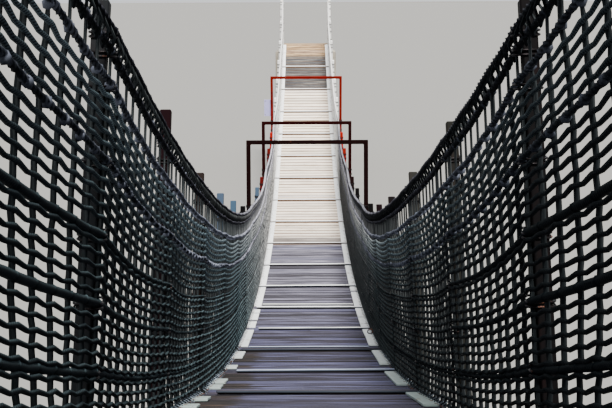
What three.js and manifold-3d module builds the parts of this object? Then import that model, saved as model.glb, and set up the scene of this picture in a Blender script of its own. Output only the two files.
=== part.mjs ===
// A rope suspension footbridge: a boarded walkway that hangs in a shallow curve between two abutments.
// It has side ropes and, at every joint of its deck, a steel cross frame. Three are closed over the walkway.
// Millimetres, +X to the right, +Y along the bridge, +Z up. The origin is under the middle, at ground level.
import * as THREE from "three";
import { mergeVertices } from "three/addons/utils/BufferGeometryUtils.js";
import Module from "manifold-3d";

// The run of the bridge. Joint 0 is the near end of the hanging deck and joint BAYS its far end.
const BAY = 1800;
const BAYS = 19;
const LOW_JOINT = 10;
const LOW_DECK_Z = 800;
const RISE_PER_BAY_SQUARED = 32.3;
const LANDING = 1200;

// The deck.
const DECK_WIDTH = 1280;
const BOARD_THICKNESS = 40;
const PANEL_GAP = 34;
const EDGE_STRIP_WIDTH = 90;
const EDGE_STRIP_HEIGHT = 8;
const BEARER_X = 420;
const BEARER_WIDTH = 60;
const BEARER_BOTTOM = 120;
const BEARER_END_CUT = 5;
// How far a joined piece is let into its neighbour, and how far it is set in from its side.
const BITE = 5;
const INSET = 1;

// The cross frames, of square tube. Heights are above the top of the deck, square to it.
const TUBE = 50;
const BEAM_HEIGHT = 60;
const FRAME_HALF_WIDTH = 685;
const POST_LEAN = 30;
const POST_HEIGHT = 1310;
// Posts that lean in further or stand higher or lower than the rest, by joint: the left one, then the right one.
const POST_LEANS = { 1: [50, 34], 2: [36, 50], 3: [36, 68], 4: [34, 72], 5: [25, 58], 6: [20, 40] };
const POST_TOPS = { 2: [1365, 1305], 4: [1326, 1296], 5: [1335, 1297], 6: [1281, 1302], 8: [1327, 1310] };
const PORTAL_JOINTS = [7, 10, 13];
const PORTAL_HEIGHTS = [1980, 1980, 2100];
const END_POST = 70;
const END_POST_HEIGHT = 1400;

// The ropes.
const DECK_CABLE_RADIUS = 14;
const DECK_CABLE_X = 520;
const HANDRAIL_RADIUS = 15;
const HANDRAIL_HEIGHT = 1210;
const SIDE_ROPE_WIDTH = 18;
const SIDE_ROPE_HEIGHTS = [190, 385, 580, 795, 1015, 1140];
const TIE_WIDTH = 22;
const TIE_OVERRUN = 16;
const ROPE_PANEL_JOINTS = [-1, 4, 10, 16, 20];
const ROPE_TAIL = 40;
const ROPE_SIDES = 8;

// The abutments.
const ABUTMENT_HALF_WIDTH = 860;
const ABUTMENT_FRONT = 60;
const ABUTMENT_BACK = 150;
const SLEEPER_WIDTH = 100;

// The notice plate on the third closed frame.
const PLATE_OUTER_X = 840;
const PLATE_INNER_X = 690;
const PLATE_BOTTOM = 1295;
const PLATE_TOP = 1630;
const PLATE_THICKNESS = 6;

// Clearances.
const GAP = 0.3;
const BEAM_CLEARANCE = 0.6;
const CABLE_CLEARANCE = 0.85;
const ROPE_CLEARANCE = 0.8;
const ROPE_PANEL_HOLD_BACK = 0.45;

const wasm = await Module();
wasm.setup();

const COLOURS = {
  board: { color: 0x8d8288, roughness: 0.85, metalness: 0 },
  landing: { color: 0x9b8f80, roughness: 0.85, metalness: 0 },
  maroon: { color: 0x3b1214, roughness: 0.5, metalness: 0.2 },
  black: { color: 0x2a2224, roughness: 0.55, metalness: 0.2 },
  blue: { color: 0x6f8da0, roughness: 0.5, metalness: 0.2 },
  redBrown: { color: 0x6a2a22, roughness: 0.55, metalness: 0.2 },
  red: { color: 0xb41f1a, roughness: 0.45, metalness: 0.2 },
  white: { color: 0xd9d8d2, roughness: 0.5, metalness: 0.1 },
  steelRope: { color: 0x6c6e70, roughness: 0.45, metalness: 0.8 },
  rope: { color: 0x3c403f, roughness: 0.95, metalness: 0 },
  concrete: { color: 0x9a968c, roughness: 0.95, metalness: 0 },
  plate: { color: 0xc9c8dc, roughness: 0.4, metalness: 0.1 },
};

const bridge = new THREE.Group();
bridge.name = "rope_suspension_footbridge";

function addPiece(name, geometry, colour, parent = bridge) {
  const mesh = new THREE.Mesh(geometry, new THREE.MeshStandardMaterial(COLOURS[colour]));
  mesh.name = name;
  parent.add(mesh);
  return mesh;
}

// Where a joint stands, and how far its square leans from upright. The landings past both ends are level.
function joint(index) {
  const onDeck = Math.min(Math.max(index, 0), BAYS);
  const landing = (index - onDeck) * LANDING;
  const bays = onDeck - LOW_JOINT;
  const slope = (2 * RISE_PER_BAY_SQUARED * bays) / BAY;
  return {
    y: (onDeck - BAYS / 2) * BAY + landing,
    z: LOW_DECK_Z + RISE_PER_BAY_SQUARED * bays * bays,
    angle: index <= 0 || index >= BAYS ? 0 : Math.atan(slope),
  };
}

// A point beside a joint, at a height above the deck measured square to it.
function beside(index, x, height) {
  const { y, z, angle } = joint(index);
  return new THREE.Vector3(x, y - height * Math.sin(angle), z + height * Math.cos(angle));
}

function isEndFrame(index) {
  return index === 0 || index === BAYS;
}

function isUpright(index) {
  return index <= 0 || index >= BAYS || PORTAL_JOINTS.includes(index);
}

// How far in a post leans at a height: not at all on closed and end frames.
function leanAt(index, height, side) {
  if (isUpright(index)) return 0;
  const lean = (POST_LEANS[index] ?? [POST_LEAN, POST_LEAN])[side < 0 ? 0 : 1];
  return (lean * (height + BEARER_BOTTOM)) / (POST_HEIGHT + BEARER_BOTTOM);
}

function postInnerX(index, height, side) {
  return FRAME_HALF_WIDTH - TUBE / 2 - leanAt(index, height, side);
}

// The top of a cross beam, below the deck. The bearers meet the end beams at a slope, so those lie lower.
function beamTop(index) {
  if (!isEndFrame(index)) return -(BEARER_BOTTOM + BEAM_CLEARANCE);
  const inner = index === 0 ? 1 : BAYS - 1;
  const run = Math.abs(joint(inner).y - joint(index).y);
  const fall = joint(index).z - joint(inner).z;
  const angle = Math.atan(fall / run);
  return -(BEARER_BOTTOM / Math.cos(angle) + (TUBE / 2) * Math.tan(angle) + BEAM_CLEARANCE);
}

function outline(points) {
  return new THREE.Shape(points.map(([x, y]) => new THREE.Vector2(x, y)));
}

// A flat outline in X and Z, made thick along Y about its middle.
function extrudeAcross(shape, thickness) {
  const geometry = new THREE.ExtrudeGeometry(shape, { depth: thickness, bevelEnabled: false });
  return geometry.rotateX(Math.PI / 2).translate(0, thickness / 2, 0);
}

// Two posts on a cross beam, open at the top. The posts are given left and then right, each with its lean and top.
function uFrame(inner, tube, beamBottom, beamUpper, posts) {
  const outer = inner + tube;
  const [left, right] = posts.map(({ lean, top }) => [
    [outer, beamBottom],
    [outer - lean, top],
    [inner - lean, top],
    [inner, beamUpper],
  ]);
  const mirrored = left.map(([x, z]) => [-x, z]).reverse();
  return extrudeAcross(outline([...right, ...mirrored]), tube);
}

function openFrame(index) {
  const beamUpper = beamTop(index);
  const tops = POST_TOPS[index] ?? [POST_HEIGHT, POST_HEIGHT];
  const posts = [-1, 1].map((side, order) => ({ lean: leanAt(index, tops[order], side), top: tops[order] }));
  return uFrame(FRAME_HALF_WIDTH - TUBE / 2, TUBE, beamUpper - BEAM_HEIGHT, beamUpper, posts);
}

function closedFrame(index, height) {
  const outer = FRAME_HALF_WIDTH + TUBE / 2;
  const inner = FRAME_HALF_WIDTH - TUBE / 2;
  const top = beamTop(index);
  const bottom = top - BEAM_HEIGHT;
  const shape = outline([
    [-outer, bottom],
    [outer, bottom],
    [outer, height],
    [-outer, height],
  ]);
  const opening = [
    [-inner, top],
    [-inner, height - TUBE],
    [inner, height - TUBE],
    [inner, top],
  ];
  shape.holes.push(new THREE.Path(opening.map(([x, z]) => new THREE.Vector2(x, z))));
  return extrudeAcross(shape, TUBE);
}

// A line through points, with its corners kept, for a rope that runs straight between its supports.
class StationLine extends THREE.Curve {
  constructor(points) {
    super();
    this.points = points;
  }
  getPoint(share) {
    const spans = this.points.length - 1;
    const at = Math.min(Math.max(share, 0), 1) * spans;
    const span = Math.min(Math.floor(at), spans - 1);
    return this.points[span].clone().lerp(this.points[span + 1], at - span);
  }
  getUtoTmapping(share) {
    return share;
  }
}

function sweep(corners, points) {
  return new THREE.ExtrudeGeometry(outline(corners), {
    steps: points.length - 1,
    bevelEnabled: false,
    extrudePath: new StationLine(points),
  });
}

function roundSection(radius) {
  const corners = [];
  for (let side = 0; side < ROPE_SIDES; side += 1) {
    const turn = (2 * Math.PI * side) / ROPE_SIDES;
    corners.push([radius * Math.cos(turn), radius * Math.sin(turn)]);
  }
  return corners;
}

function squareSection(width) {
  const half = width / 2;
  return [
    [half, -half],
    [half, half],
    [-half, half],
    [-half, -half],
  ];
}

function toSolid(geometry) {
  const bare = geometry.clone();
  bare.deleteAttribute("normal");
  bare.deleteAttribute("uv");
  const merged = mergeVertices(bare, 1e-3);
  return new wasm.Manifold(
    new wasm.Mesh({
      numProp: 3,
      vertProperties: new Float32Array(merged.getAttribute("position").array),
      triVerts: new Uint32Array(merged.index.array),
    }),
  );
}

function joined(geometries) {
  const solid = geometries.map(toSolid).reduce((whole, next) => whole.add(next));
  const mesh = solid.getMesh();
  const geometry = new THREE.BufferGeometry();
  geometry.setAttribute("position", new THREE.BufferAttribute(mesh.vertProperties, 3));
  geometry.setIndex(new THREE.BufferAttribute(mesh.triVerts, 1));
  geometry.computeVertexNormals();
  return geometry;
}

// One bay of deck: a board panel with a raised strip along each edge, on two bearers between the cross beams.
function deckBay(index) {
  const start = joint(index);
  const end = joint(index + 1);
  const length = Math.hypot(end.y - start.y, end.z - start.z);
  const slab = (width, x, cut, bottom, top) =>
    new THREE.BoxGeometry(width, length - 2 * cut, top - bottom).translate(x, length / 2, (bottom + top) / 2);
  const panelCut = PANEL_GAP / 2;
  const pieces = [slab(DECK_WIDTH, 0, panelCut, -BOARD_THICKNESS, 0)];
  for (const side of [-1, 1]) {
    const stripX = side * (DECK_WIDTH / 2 - EDGE_STRIP_WIDTH / 2 - INSET);
    pieces.push(
      slab(EDGE_STRIP_WIDTH, stripX, panelCut + INSET, -BITE, EDGE_STRIP_HEIGHT),
      slab(BEARER_WIDTH, side * BEARER_X, BEARER_END_CUT, -BEARER_BOTTOM, BITE - BOARD_THICKNESS),
    );
  }
  const slope = Math.atan2(end.z - start.z, end.y - start.y);
  return joined(pieces.map((piece) => piece.rotateX(slope).translate(0, start.y, start.z)));
}

function twoDigits(number) {
  return String(number).padStart(2, "0");
}

function addDeck() {
  for (let index = 0; index < BAYS; index += 1) {
    addPiece(`deck_bay_${twoDigits(index + 1)}`, deckBay(index), "board");
  }
}

function framePaint(index) {
  const odd = { 4: "blue", 5: "blue", 6: "black", 8: "blue", 9: "redBrown", 13: "red" };
  return odd[index] ?? (index > PORTAL_JOINTS[2] ? "white" : "maroon");
}

function addFrames() {
  for (let index = 0; index <= BAYS; index += 1) {
    const { y, z, angle } = joint(index);
    const holder = new THREE.Group();
    holder.position.set(0, y, z);
    holder.rotation.x = angle;
    bridge.add(holder);
    const portal = PORTAL_JOINTS.indexOf(index);
    const name = portal >= 0 ? `portal_frame_${portal + 1}` : `cross_frame_${twoDigits(index + 1)}`;
    const shape = portal >= 0 ? closedFrame(index, PORTAL_HEIGHTS[portal]) : openFrame(index);
    addPiece(name, shape, framePaint(index), holder);
    if (portal === PORTAL_JOINTS.length - 1) {
      const width = PLATE_OUTER_X - PLATE_INNER_X;
      const height = PLATE_TOP - PLATE_BOTTOM;
      const plate = new THREE.BoxGeometry(width, PLATE_THICKNESS, height);
      const notice = addPiece("notice_plate", plate, "plate", holder);
      const behind = TUBE / 2 + GAP + PLATE_THICKNESS / 2;
      notice.position.set(-(PLATE_OUTER_X + PLATE_INNER_X) / 2, behind, PLATE_BOTTOM + height / 2);
    }
  }
}

// The abutment's top lies under the end frame's cross beam.
function abutmentTop(index) {
  return joint(index).z + beamTop(index) - BEAM_HEIGHT - GAP;
}

function addEnd(name, index) {
  const outwards = index === 0 ? -1 : 1;
  const { y, z } = joint(index);
  const top = abutmentTop(index);
  const front = y - outwards * ABUTMENT_FRONT;
  const back = y + outwards * (LANDING + ABUTMENT_BACK);
  const block = new THREE.BoxGeometry(2 * ABUTMENT_HALF_WIDTH, Math.abs(back - front), top);
  addPiece(`${name}_abutment`, block, "concrete").position.set(0, (front + back) / 2, top / 2);

  const slabFront = y + outwards * (PANEL_GAP / 2);
  const slab = new THREE.BoxGeometry(DECK_WIDTH, Math.abs(back - slabFront), BOARD_THICKNESS);
  slab.translate(0, (slabFront + back) / 2, z - BOARD_THICKNESS / 2);
  const sleeperTop = z - BOARD_THICKNESS + BITE;
  const sleeperBottom = top + GAP;
  const pieces = [slab];
  const firstSleeper = TUBE / 2 + SLEEPER_WIDTH;
  const lastSleeper = LANDING + ABUTMENT_BACK - SLEEPER_WIDTH / 2 - INSET;
  for (const along of [firstSleeper, (firstSleeper + lastSleeper) / 2, lastSleeper]) {
    const sleeper = new THREE.BoxGeometry(DECK_WIDTH - 2 * INSET, SLEEPER_WIDTH, sleeperTop - sleeperBottom);
    pieces.push(sleeper.translate(0, y + outwards * along, (sleeperTop + sleeperBottom) / 2));
  }
  addPiece(`${name}_landing_deck`, joined(pieces), "landing");

  const sill = top + GAP - z;
  const inner = FRAME_HALF_WIDTH - TUBE / 2;
  const post = { lean: 0, top: END_POST_HEIGHT };
  const frame = uFrame(inner, END_POST, sill, sill + BEAM_HEIGHT, [post, post]);
  const paint = index === 0 ? "maroon" : "white";
  addPiece(`${name}_end_frame`, frame, paint).position.set(0, y + outwards * LANDING, z);
}

// A deck cable lies under every cross beam and ends in both abutments.
function deckCablePoints(side) {
  const depth = BEARER_BOTTOM + BEAM_CLEARANCE + BEAM_HEIGHT + DECK_CABLE_RADIUS + CABLE_CLEARANCE;
  const points = [];
  for (let index = 1; index < BAYS; index += 1) points.push(beside(index, side * DECK_CABLE_X, -depth));
  const reach = (from, next, faceY) => {
    const way = from.clone().sub(next);
    return from.clone().addScaledVector(way, (faceY - from.y) / way.y);
  };
  const standOff = ABUTMENT_FRONT + DECK_CABLE_RADIUS / 2;
  points.unshift(reach(points[0], points[1], joint(0).y + standOff));
  points.push(reach(points[points.length - 1], points[points.length - 2], joint(BAYS).y - standOff));
  return points;
}

function ropePoint(side, index, height, halfWidth) {
  return beside(index, side * (postInnerX(index, height, side) - halfWidth - ROPE_CLEARANCE), height);
}

// A rope from one joint to another, drawn out past an end post and held back a little at a shared joint.
function sideRope(side, first, last, height, halfWidth, section) {
  const points = [];
  for (let index = first; index <= last; index += 1) points.push(ropePoint(side, index, height, halfWidth));
  const ends = [
    [0, 1, first === -1],
    [points.length - 1, points.length - 2, last === BAYS + 1],
  ];
  for (const [end, next, free] of ends) {
    const way = points[end].clone().sub(points[next]).normalize();
    points[end].addScaledVector(way, free ? ROPE_TAIL : -ROPE_PANEL_HOLD_BACK);
  }
  return sweep(section, points);
}

function sideTie(side, index) {
  const foot = SIDE_ROPE_HEIGHTS[0] - TIE_OVERRUN;
  const head = SIDE_ROPE_HEIGHTS[SIDE_ROPE_HEIGHTS.length - 1] + TIE_OVERRUN;
  const middle = (height) => {
    const from = ropePoint(side, index, height, SIDE_ROPE_WIDTH / 2);
    return from.lerp(ropePoint(side, index + 1, height, SIDE_ROPE_WIDTH / 2), 0.5);
  };
  return sweep(squareSection(TIE_WIDTH), [middle(foot), middle(head)]);
}

function sideRopePanel(side, first, last) {
  const section = squareSection(SIDE_ROPE_WIDTH);
  const half = SIDE_ROPE_WIDTH / 2;
  const pieces = SIDE_ROPE_HEIGHTS.map((height) => sideRope(side, first, last, height, half, section));
  for (let index = first; index < last; index += 1) pieces.push(sideTie(side, index));
  return joined(pieces);
}

function addRopes() {
  for (const [side, word] of [
    [-1, "left"],
    [1, "right"],
  ]) {
    const deckCable = sweep(roundSection(DECK_CABLE_RADIUS), deckCablePoints(side));
    addPiece(`deck_cable_${word}`, deckCable, "steelRope");
    const section = roundSection(HANDRAIL_RADIUS);
    const handrail = sideRope(side, -1, BAYS + 1, HANDRAIL_HEIGHT, HANDRAIL_RADIUS, section);
    addPiece(`handrail_rope_${word}`, handrail, "rope");
    for (let panel = 0; panel + 1 < ROPE_PANEL_JOINTS.length; panel += 1) {
      const ropes = sideRopePanel(side, ROPE_PANEL_JOINTS[panel], ROPE_PANEL_JOINTS[panel + 1]);
      addPiece(`side_ropes_${word}_${panel + 1}`, ropes, "rope");
    }
  }
}

addDeck();
addFrames();
addEnd("near", 0);
addEnd("far", BAYS);
addRopes();

export default bridge;
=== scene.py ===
import functools
import math
import random

import bmesh
import bpy
from mathutils import Matrix, Vector


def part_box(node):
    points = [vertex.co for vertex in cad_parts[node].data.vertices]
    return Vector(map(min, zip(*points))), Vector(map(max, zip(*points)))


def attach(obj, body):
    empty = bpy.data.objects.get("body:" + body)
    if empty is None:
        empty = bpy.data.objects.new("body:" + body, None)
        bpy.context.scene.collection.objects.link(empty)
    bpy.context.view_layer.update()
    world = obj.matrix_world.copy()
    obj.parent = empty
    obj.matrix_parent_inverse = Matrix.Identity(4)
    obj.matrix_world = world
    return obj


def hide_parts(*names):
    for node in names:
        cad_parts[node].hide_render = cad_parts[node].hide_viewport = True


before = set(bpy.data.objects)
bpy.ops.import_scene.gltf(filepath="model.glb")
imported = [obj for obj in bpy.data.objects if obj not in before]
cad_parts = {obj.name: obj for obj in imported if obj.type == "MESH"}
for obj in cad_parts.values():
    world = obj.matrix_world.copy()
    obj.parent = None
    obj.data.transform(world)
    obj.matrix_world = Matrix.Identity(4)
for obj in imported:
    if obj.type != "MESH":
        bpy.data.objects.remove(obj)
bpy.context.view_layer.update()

# The run of the bridge, in metres. Joint 0 is the near end of the hanging deck and joint 19 its far end.
BAY = 1.8
BAYS = 19
LOW_JOINT = 10
LOW_DECK_Z = 0.8
RISE_PER_BAY_SQUARED = 0.0323
LANDING = 1.2
LANDING_BACK = 0.15
ENDS = ((0, "near"), (BAYS, "far"))
SIDES = ((-1, "left"), (1, "right"))

# The deck.
DECK_WIDTH = 1.28
BOARD_THICKNESS = 0.04
BOARD_KINDS = 4
PANEL_GAP = 0.034
BOARDS_PER_BAY = 8
BOARDS_PER_LANDING = 6
BOARD_GAP = 0.009
STRIP_INNER_X = 0.552
STRIP_OUTER_X = 0.639
STRIP_HEIGHT = 0.014
BATTEN_KINDS = 3
BATTEN_WIDTH = 0.05
BATTEN_HEIGHT = 0.018
PACKING_HEIGHT = 0.009
BEARER_X = 0.42
BEARER_WIDTH = 0.06
BEARER_BOTTOM = 0.12
BEARER_END_CUT = 0.005
SLEEPER_WIDTH = 0.1

# The frames.
TUBE = 0.05
BEAM_HEIGHT = 0.06
FRAME_HALF_WIDTH = 0.685
POST_LEAN = 0.03
POST_HEIGHT = 1.31
# Posts that lean in further than the rest, by joint: the left one, then the right one.
POST_LEANS = {
    1: (0.05, 0.034), 2: (0.036, 0.05), 3: (0.036, 0.068),
    4: (0.034, 0.072), 5: (0.025, 0.058), 6: (0.02, 0.04),
}
PORTAL_JOINTS = (7, 10, 13)
PORTAL_HEIGHTS = (1.98, 1.98, 2.1)
END_POST = 0.07
BEAM_CLEARANCE = 0.0006

# The ropes. Heights are square to the deck.
ROPE_FACE = 0.013
HANDRAIL_HEIGHT = 1.21
COMPANION_HEIGHT = 1.14
NET_TOP = 1.015
THIRD_ROPE_HEIGHT = 0.795
LOWER_ROPE_HEIGHTS = (0.19, 0.385, 0.58)
EDGE_ROPE_HEIGHT = 0.03
NET_ROWS = 27
ROW_CLEARS_ROPE_BY = 0.014
ROPE_STEP = 0.02
# A laid rope's strands go round once in so many times its radius.
ROPE_LAY = 0.14 / 0.0148
LOWER_ROPE_RADII = (0.0128, 0.0072)
LOWER_ROPE_TAPERS_TO = 2.4
EDGE_ROPE_RADIUS = 0.007
NET_CORD_RADIUS = 0.0072
NET_CORD_SWELL = 1.12
NET_TIE_RADIUS = 0.0088
# The ties' tops are thin, and heavier on the near two panels. A few are much thicker than the rest.
TOP_TIE_RADII = (0.0053, 0.0053, 0.0042, 0.0042)
THICK_TIE_SHARE = 0.15
THICK_TIE_TIMES = 1.7
NET_WEAVE = 0.001
NET_IN_FRONT = 0.0045
# A cord of the net is lifted at each tie and drops between two.
CORD_LIFT = 0.0035
CORD_DROP = 0.0045
# How deep the net hangs in a bay at its foot, and how much deeper at its top.
NET_HANG = 0.012
NET_HANG_MORE = 0.02
# How far a crossing of the net may be off, across, along and up.
NET_SHAKES = (0.002, 0.004, 0.0013)
TIE_LEAN = 0.03
TIE_FOOT_INSET = 0.006
# How much larger a knot on a lower rope is than the rope.
LOW_KNOT_TIMES = 1.3
TIES_PER_BAY = 11
LACINGS_PER_BAY = 16
# How pale the net's topmost cords are, and how many metres nearer the painted sunlight reaches them for it.
NET_TONE_RISE = 0.95
PALE_CORD_LEADS = 4.8
DECK_CABLE_X = 0.52
DECK_CABLE_RADIUS = 0.014
DECK_CABLE_LAY = 0.34
DECK_CABLE_STEP = 0.045
U_BOLT_REACH = 0.0185
U_BOLT_RADIUS = 0.004
U_BOLT_STEPS = 8
NUT_SIZE = (0.6, 0.6, 0.7)
ROPE_PANEL_JOINTS = (-1, 4, 10, 16, 20)
ROPE_TAIL = 0.04
# The net hangs higher on the near posts: by how much at most, at which station and how far to each side.
HITCH_RISE = 0.055
HITCH_STATION = 0.4
HITCH_REACH = 1.3
# How far the slack net stands out in the middle of a bay, and by how much more or less from bay to bay.
BELLY = 0.02
BELLY_VARIES = 0.012


def joint(index):
    """Where a joint stands along and above the ground, and how far its square leans from upright."""
    on_deck = min(max(index, 0), BAYS)
    bays = on_deck - LOW_JOINT
    level = index <= 0 or index >= BAYS
    slope = 0.0 if level else math.atan(2 * RISE_PER_BAY_SQUARED * bays / BAY)
    along = (on_deck - BAYS / 2) * BAY + (index - on_deck) * LANDING
    return along, LOW_DECK_Z + RISE_PER_BAY_SQUARED * bays * bays, slope


def beside(index, x, height):
    along, up, slope = joint(index)
    return Vector((x, along - height * math.sin(slope), up + height * math.cos(slope)))


def post_inner_x(index, height, side):
    base = FRAME_HALF_WIDTH - TUBE / 2
    if index <= 0 or index >= BAYS or index in PORTAL_JOINTS:
        return base
    lean = POST_LEANS.get(index, (POST_LEAN, POST_LEAN))[0 if side < 0 else 1]
    return base - lean * (height + BEARER_BOTTOM) / (POST_HEIGHT + BEARER_BOTTOM)


def beam_top(index):
    """The top of a cross beam under the deck. The end beams lie lower, as the bearers slope down to them."""
    if index not in (0, BAYS):
        return -(BEARER_BOTTOM + BEAM_CLEARANCE)
    inner = 1 if index == 0 else BAYS - 1
    run = abs(joint(inner)[0] - joint(index)[0])
    angle = math.atan((joint(index)[1] - joint(inner)[1]) / run)
    return -(BEARER_BOTTOM / math.cos(angle) + TUBE / 2 * math.tan(angle) + BEAM_CLEARANCE)


def net_point(side, station, height, inset, lift=0.0):
    """A point of the side net, so many joints along the bridge and so far inside the posts."""
    first = min(max(math.floor(station), -1), BAYS)
    ends = []
    for index in (first, first + 1):
        ends.append(beside(index, side * (post_inner_x(index, height, side) - inset), height + lift))
    return ends[0].lerp(ends[1], station - first)


def hitched(station, height):
    """How much higher the net hangs on the near posts, most at its top. The handrail stays where it is."""
    near = max(1.0 - abs(station - HITCH_STATION) / HITCH_REACH, 0.0)
    level = min(height / NET_TOP, 1.0) if height <= NET_TOP else 0.35 * (height < HANDRAIL_HEIGHT)
    return HITCH_RISE * level * near * near * (3.0 - 2.0 * near)


def sag(station, depth):
    """How much lower than its ties a rope hangs, deepest in the middle of a bay."""
    share = station - math.floor(station)
    return -4.0 * depth * share * (1.0 - share)


def on_bridge(station):
    return min(max(station, -1.0), BAYS + 1.0)


def hung(side, station, height, inset, depth, rise=0.0):
    """A point of a rope or cord that hangs from post to post."""
    inside = on_bridge(station)
    return net_point(side, station, height, inset, sag(inside, depth) + hitched(inside, height) + rise)


def bulge(station, height):
    """How far the slack net stands out from its straight line between posts, most at half height."""
    share = station - math.floor(station)
    belly = 4.0 * share * (1.0 - share)
    level = math.sin(math.pi * min(max(height / NET_TOP, 0.0), 1.0))
    return belly * level * (BELLY + BELLY_VARIES * math.sin(2.1 * station + 1.3))


class Bay:
    """The plane of one bay of deck, or of a landing: how far along it, and square up from it."""

    def __init__(self, start, end):
        self.start = Vector((0.0, start[0], start[1]))
        way = Vector((0.0, end[0] - start[0], end[1] - start[1]))
        self.length = way.length
        self.slope = math.atan2(way.z, way.y)
        self.along = way.normalized()
        self.up = Vector((0.0, -self.along.z, self.along.y))

    def point(self, x, distance, height):
        return self.start + Vector((x, 0.0, 0.0)) + self.along * distance + self.up * height


def deck_bay(index):
    return Bay(joint(index), joint(index + 1))


def landing_bay(index):
    """A landing, from its near end to its far end."""
    along, up, _ = joint(index)
    if index == 0:
        return Bay((along - LANDING - LANDING_BACK, up), (along, up))
    return Bay((along, up), (along + LANDING + LANDING_BACK, up))


class Signal:
    """A number or colour that varies over a surface. Sums with it add Math nodes to its tree."""

    def __init__(self, nodes, socket):
        self.nodes = nodes
        self.socket = socket

    def __add__(self, other):
        return self.nodes.maths("ADD", self, other)

    def __radd__(self, other):
        return self.nodes.maths("ADD", other, self)

    def __sub__(self, other):
        return self.nodes.maths("SUBTRACT", self, other)

    def __rsub__(self, other):
        return self.nodes.maths("SUBTRACT", other, self)

    def __mul__(self, other):
        return self.nodes.maths("MULTIPLY", self, other)

    def __rmul__(self, other):
        return self.nodes.maths("MULTIPLY", other, self)

    def __truediv__(self, other):
        return self.nodes.maths("DIVIDE", self, other)

    def __rtruediv__(self, other):
        return self.nodes.maths("DIVIDE", other, self)


def set_stops(ramp, stops):
    """Stops are pairs of a place along the ramp and a grey level."""
    while len(ramp.elements) < len(stops):
        ramp.elements.new(0.5)
    for element, (position, level) in zip(ramp.elements, stops):
        element.position = position
        element.color = (level, level, level, 1.0)


class Nodes:
    """A tree of nodes. Each call adds a node and gives one of its outputs."""

    def __init__(self, tree):
        self.tree = tree

    def node(self, kind, settings=None, inputs=None, output=0):
        """Adds a node with its settings, then the values or links of its sockets."""
        node = self.tree.nodes.new(kind)
        for key, value in (settings or {}).items():
            if key == "stops":
                set_stops(node.color_ramp, value)
            else:
                setattr(node, key, value)
        for key, value in (inputs or {}).items():
            self.feed(node.inputs[key], value)
        return Signal(self, node.outputs[output])

    def feed(self, socket, value):
        """Sets a socket to a value, or links it to what varies, or to each of a list of those in turn."""
        for source in value if isinstance(value, list) else [value]:
            if isinstance(source, Signal):
                self.tree.links.new(source.socket, socket)
            else:
                socket.default_value = source

    def maths(self, operation, *values):
        return self.node("ShaderNodeMath", {"operation": operation}, dict(enumerate(values)))


def shade(colour):
    """A colour as a shader takes it, from its levels on a screen. One that varies is left as it is."""
    if isinstance(colour, Signal):
        return colour
    linear = []
    for level in colour:
        level /= 255
        linear.append(level / 12.92 if level <= 0.04045 else ((level + 0.055) / 1.055) ** 2.4)
    return (*linear, 1.0)


class Finish(Nodes):
    """One material and the nodes it is made of."""

    def __init__(self, name, own_tone=False):
        """Where each board has a tone of its own, patterns are moved by it so that no two boards match."""
        self.material = bpy.data.materials.new(name)
        self.material.use_nodes = True
        super().__init__(self.material.node_tree)
        self.place = self.node("ShaderNodeTexCoord", output="Object")
        self.tone = self.attribute("tone") if own_tone else None

    def attribute(self, name, output="Fac"):
        return self.node("ShaderNodeAttribute", {"attribute_name": name}, output=output)

    def stretched(self, stretch):
        """Object coordinates squeezed by a number along each axis."""
        spread = self.node("ShaderNodeMapping", None, {"Vector": self.place, "Scale": stretch})
        if self.tone is None:
            return spread
        shift = {0: self.tone * 37.0, 1: self.tone * 91.0, 2: self.tone * 53.0}
        moved = self.node("ShaderNodeCombineXYZ", None, shift)
        return self.node("ShaderNodeVectorMath", {"operation": "ADD"}, {0: spread, 1: moved})

    def noise(self, scale, detail, roughness, stretch=None, distortion=0.0):
        sizes = {"Scale": scale, "Detail": detail, "Roughness": roughness, "Distortion": distortion}
        vector = self.stretched(stretch) if stretch else self.place
        return self.node("ShaderNodeTexNoise", None, {"Vector": vector, **sizes})

    def cells(self, vector, scale):
        return self.node("ShaderNodeTexVoronoi", None, {"Vector": vector, "Scale": scale}, "Distance")

    def part(self, axis, vector=None):
        return self.node("ShaderNodeSeparateXYZ", None, {0: vector or self.place}, axis)

    def upward(self):
        return self.part(2, self.node("ShaderNodeTexCoord", output="Normal"))

    def band(self, value, low, high, start=0.0, end=1.0):
        """Where a number passes from low to high, eased at both ends."""
        inputs = {"Value": value, "From Min": low, "From Max": high, "To Min": start, "To Max": end}
        return self.node("ShaderNodeMapRange", {"interpolation_type": "SMOOTHSTEP"}, inputs)

    def thin_line(self, value):
        """A line where a number passes the middle."""
        stops = ((0.0, 0.0), (0.487, 0.0), (0.5, 1.0), (0.513, 0.0))
        return self.node("ShaderNodeValToRGB", {"stops": stops}, {0: value})

    def mix(self, share, under, over):
        inputs = {0: share, 6: shade(under), 7: shade(over)}
        return self.node("ShaderNodeMix", {"data_type": "RGBA"}, inputs, 2)

    def layered(self, colour, *layers):
        """A colour with others laid over it in turn, each as far as its share says."""
        for share, over in layers:
            colour = self.mix(share, colour, over)
        return colour

    def coat(self, colour, roughness, specular=0.5, bump=None, metallic=0.0):
        """Sets the surface. A bump is its height, its depth in metres and its strength."""
        inputs = {"Base Color": shade(colour), "Roughness": roughness, "Metallic": metallic}
        inputs["Specular IOR Level"] = specular
        if bump:
            height, depth, strength = bump
            bumps = {"Height": height, "Distance": depth, "Strength": strength}
            inputs["Normal"] = self.node("ShaderNodeBump", None, bumps)
        shader = self.tree.nodes["Principled BSDF"]
        for name, value in inputs.items():
            self.feed(shader.inputs[name], value)
        return self.material


# The near boards' painted shade turns greyer along the bridge, and their left ends are rotten up to about the
# fifth joint.
GREYER_FROM_Y = joint(5)[0]
GREYER_TO_Y = joint(9)[0] + 0.6
ROTTEN_TO_Y = joint(5)[0] + 0.6
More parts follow.
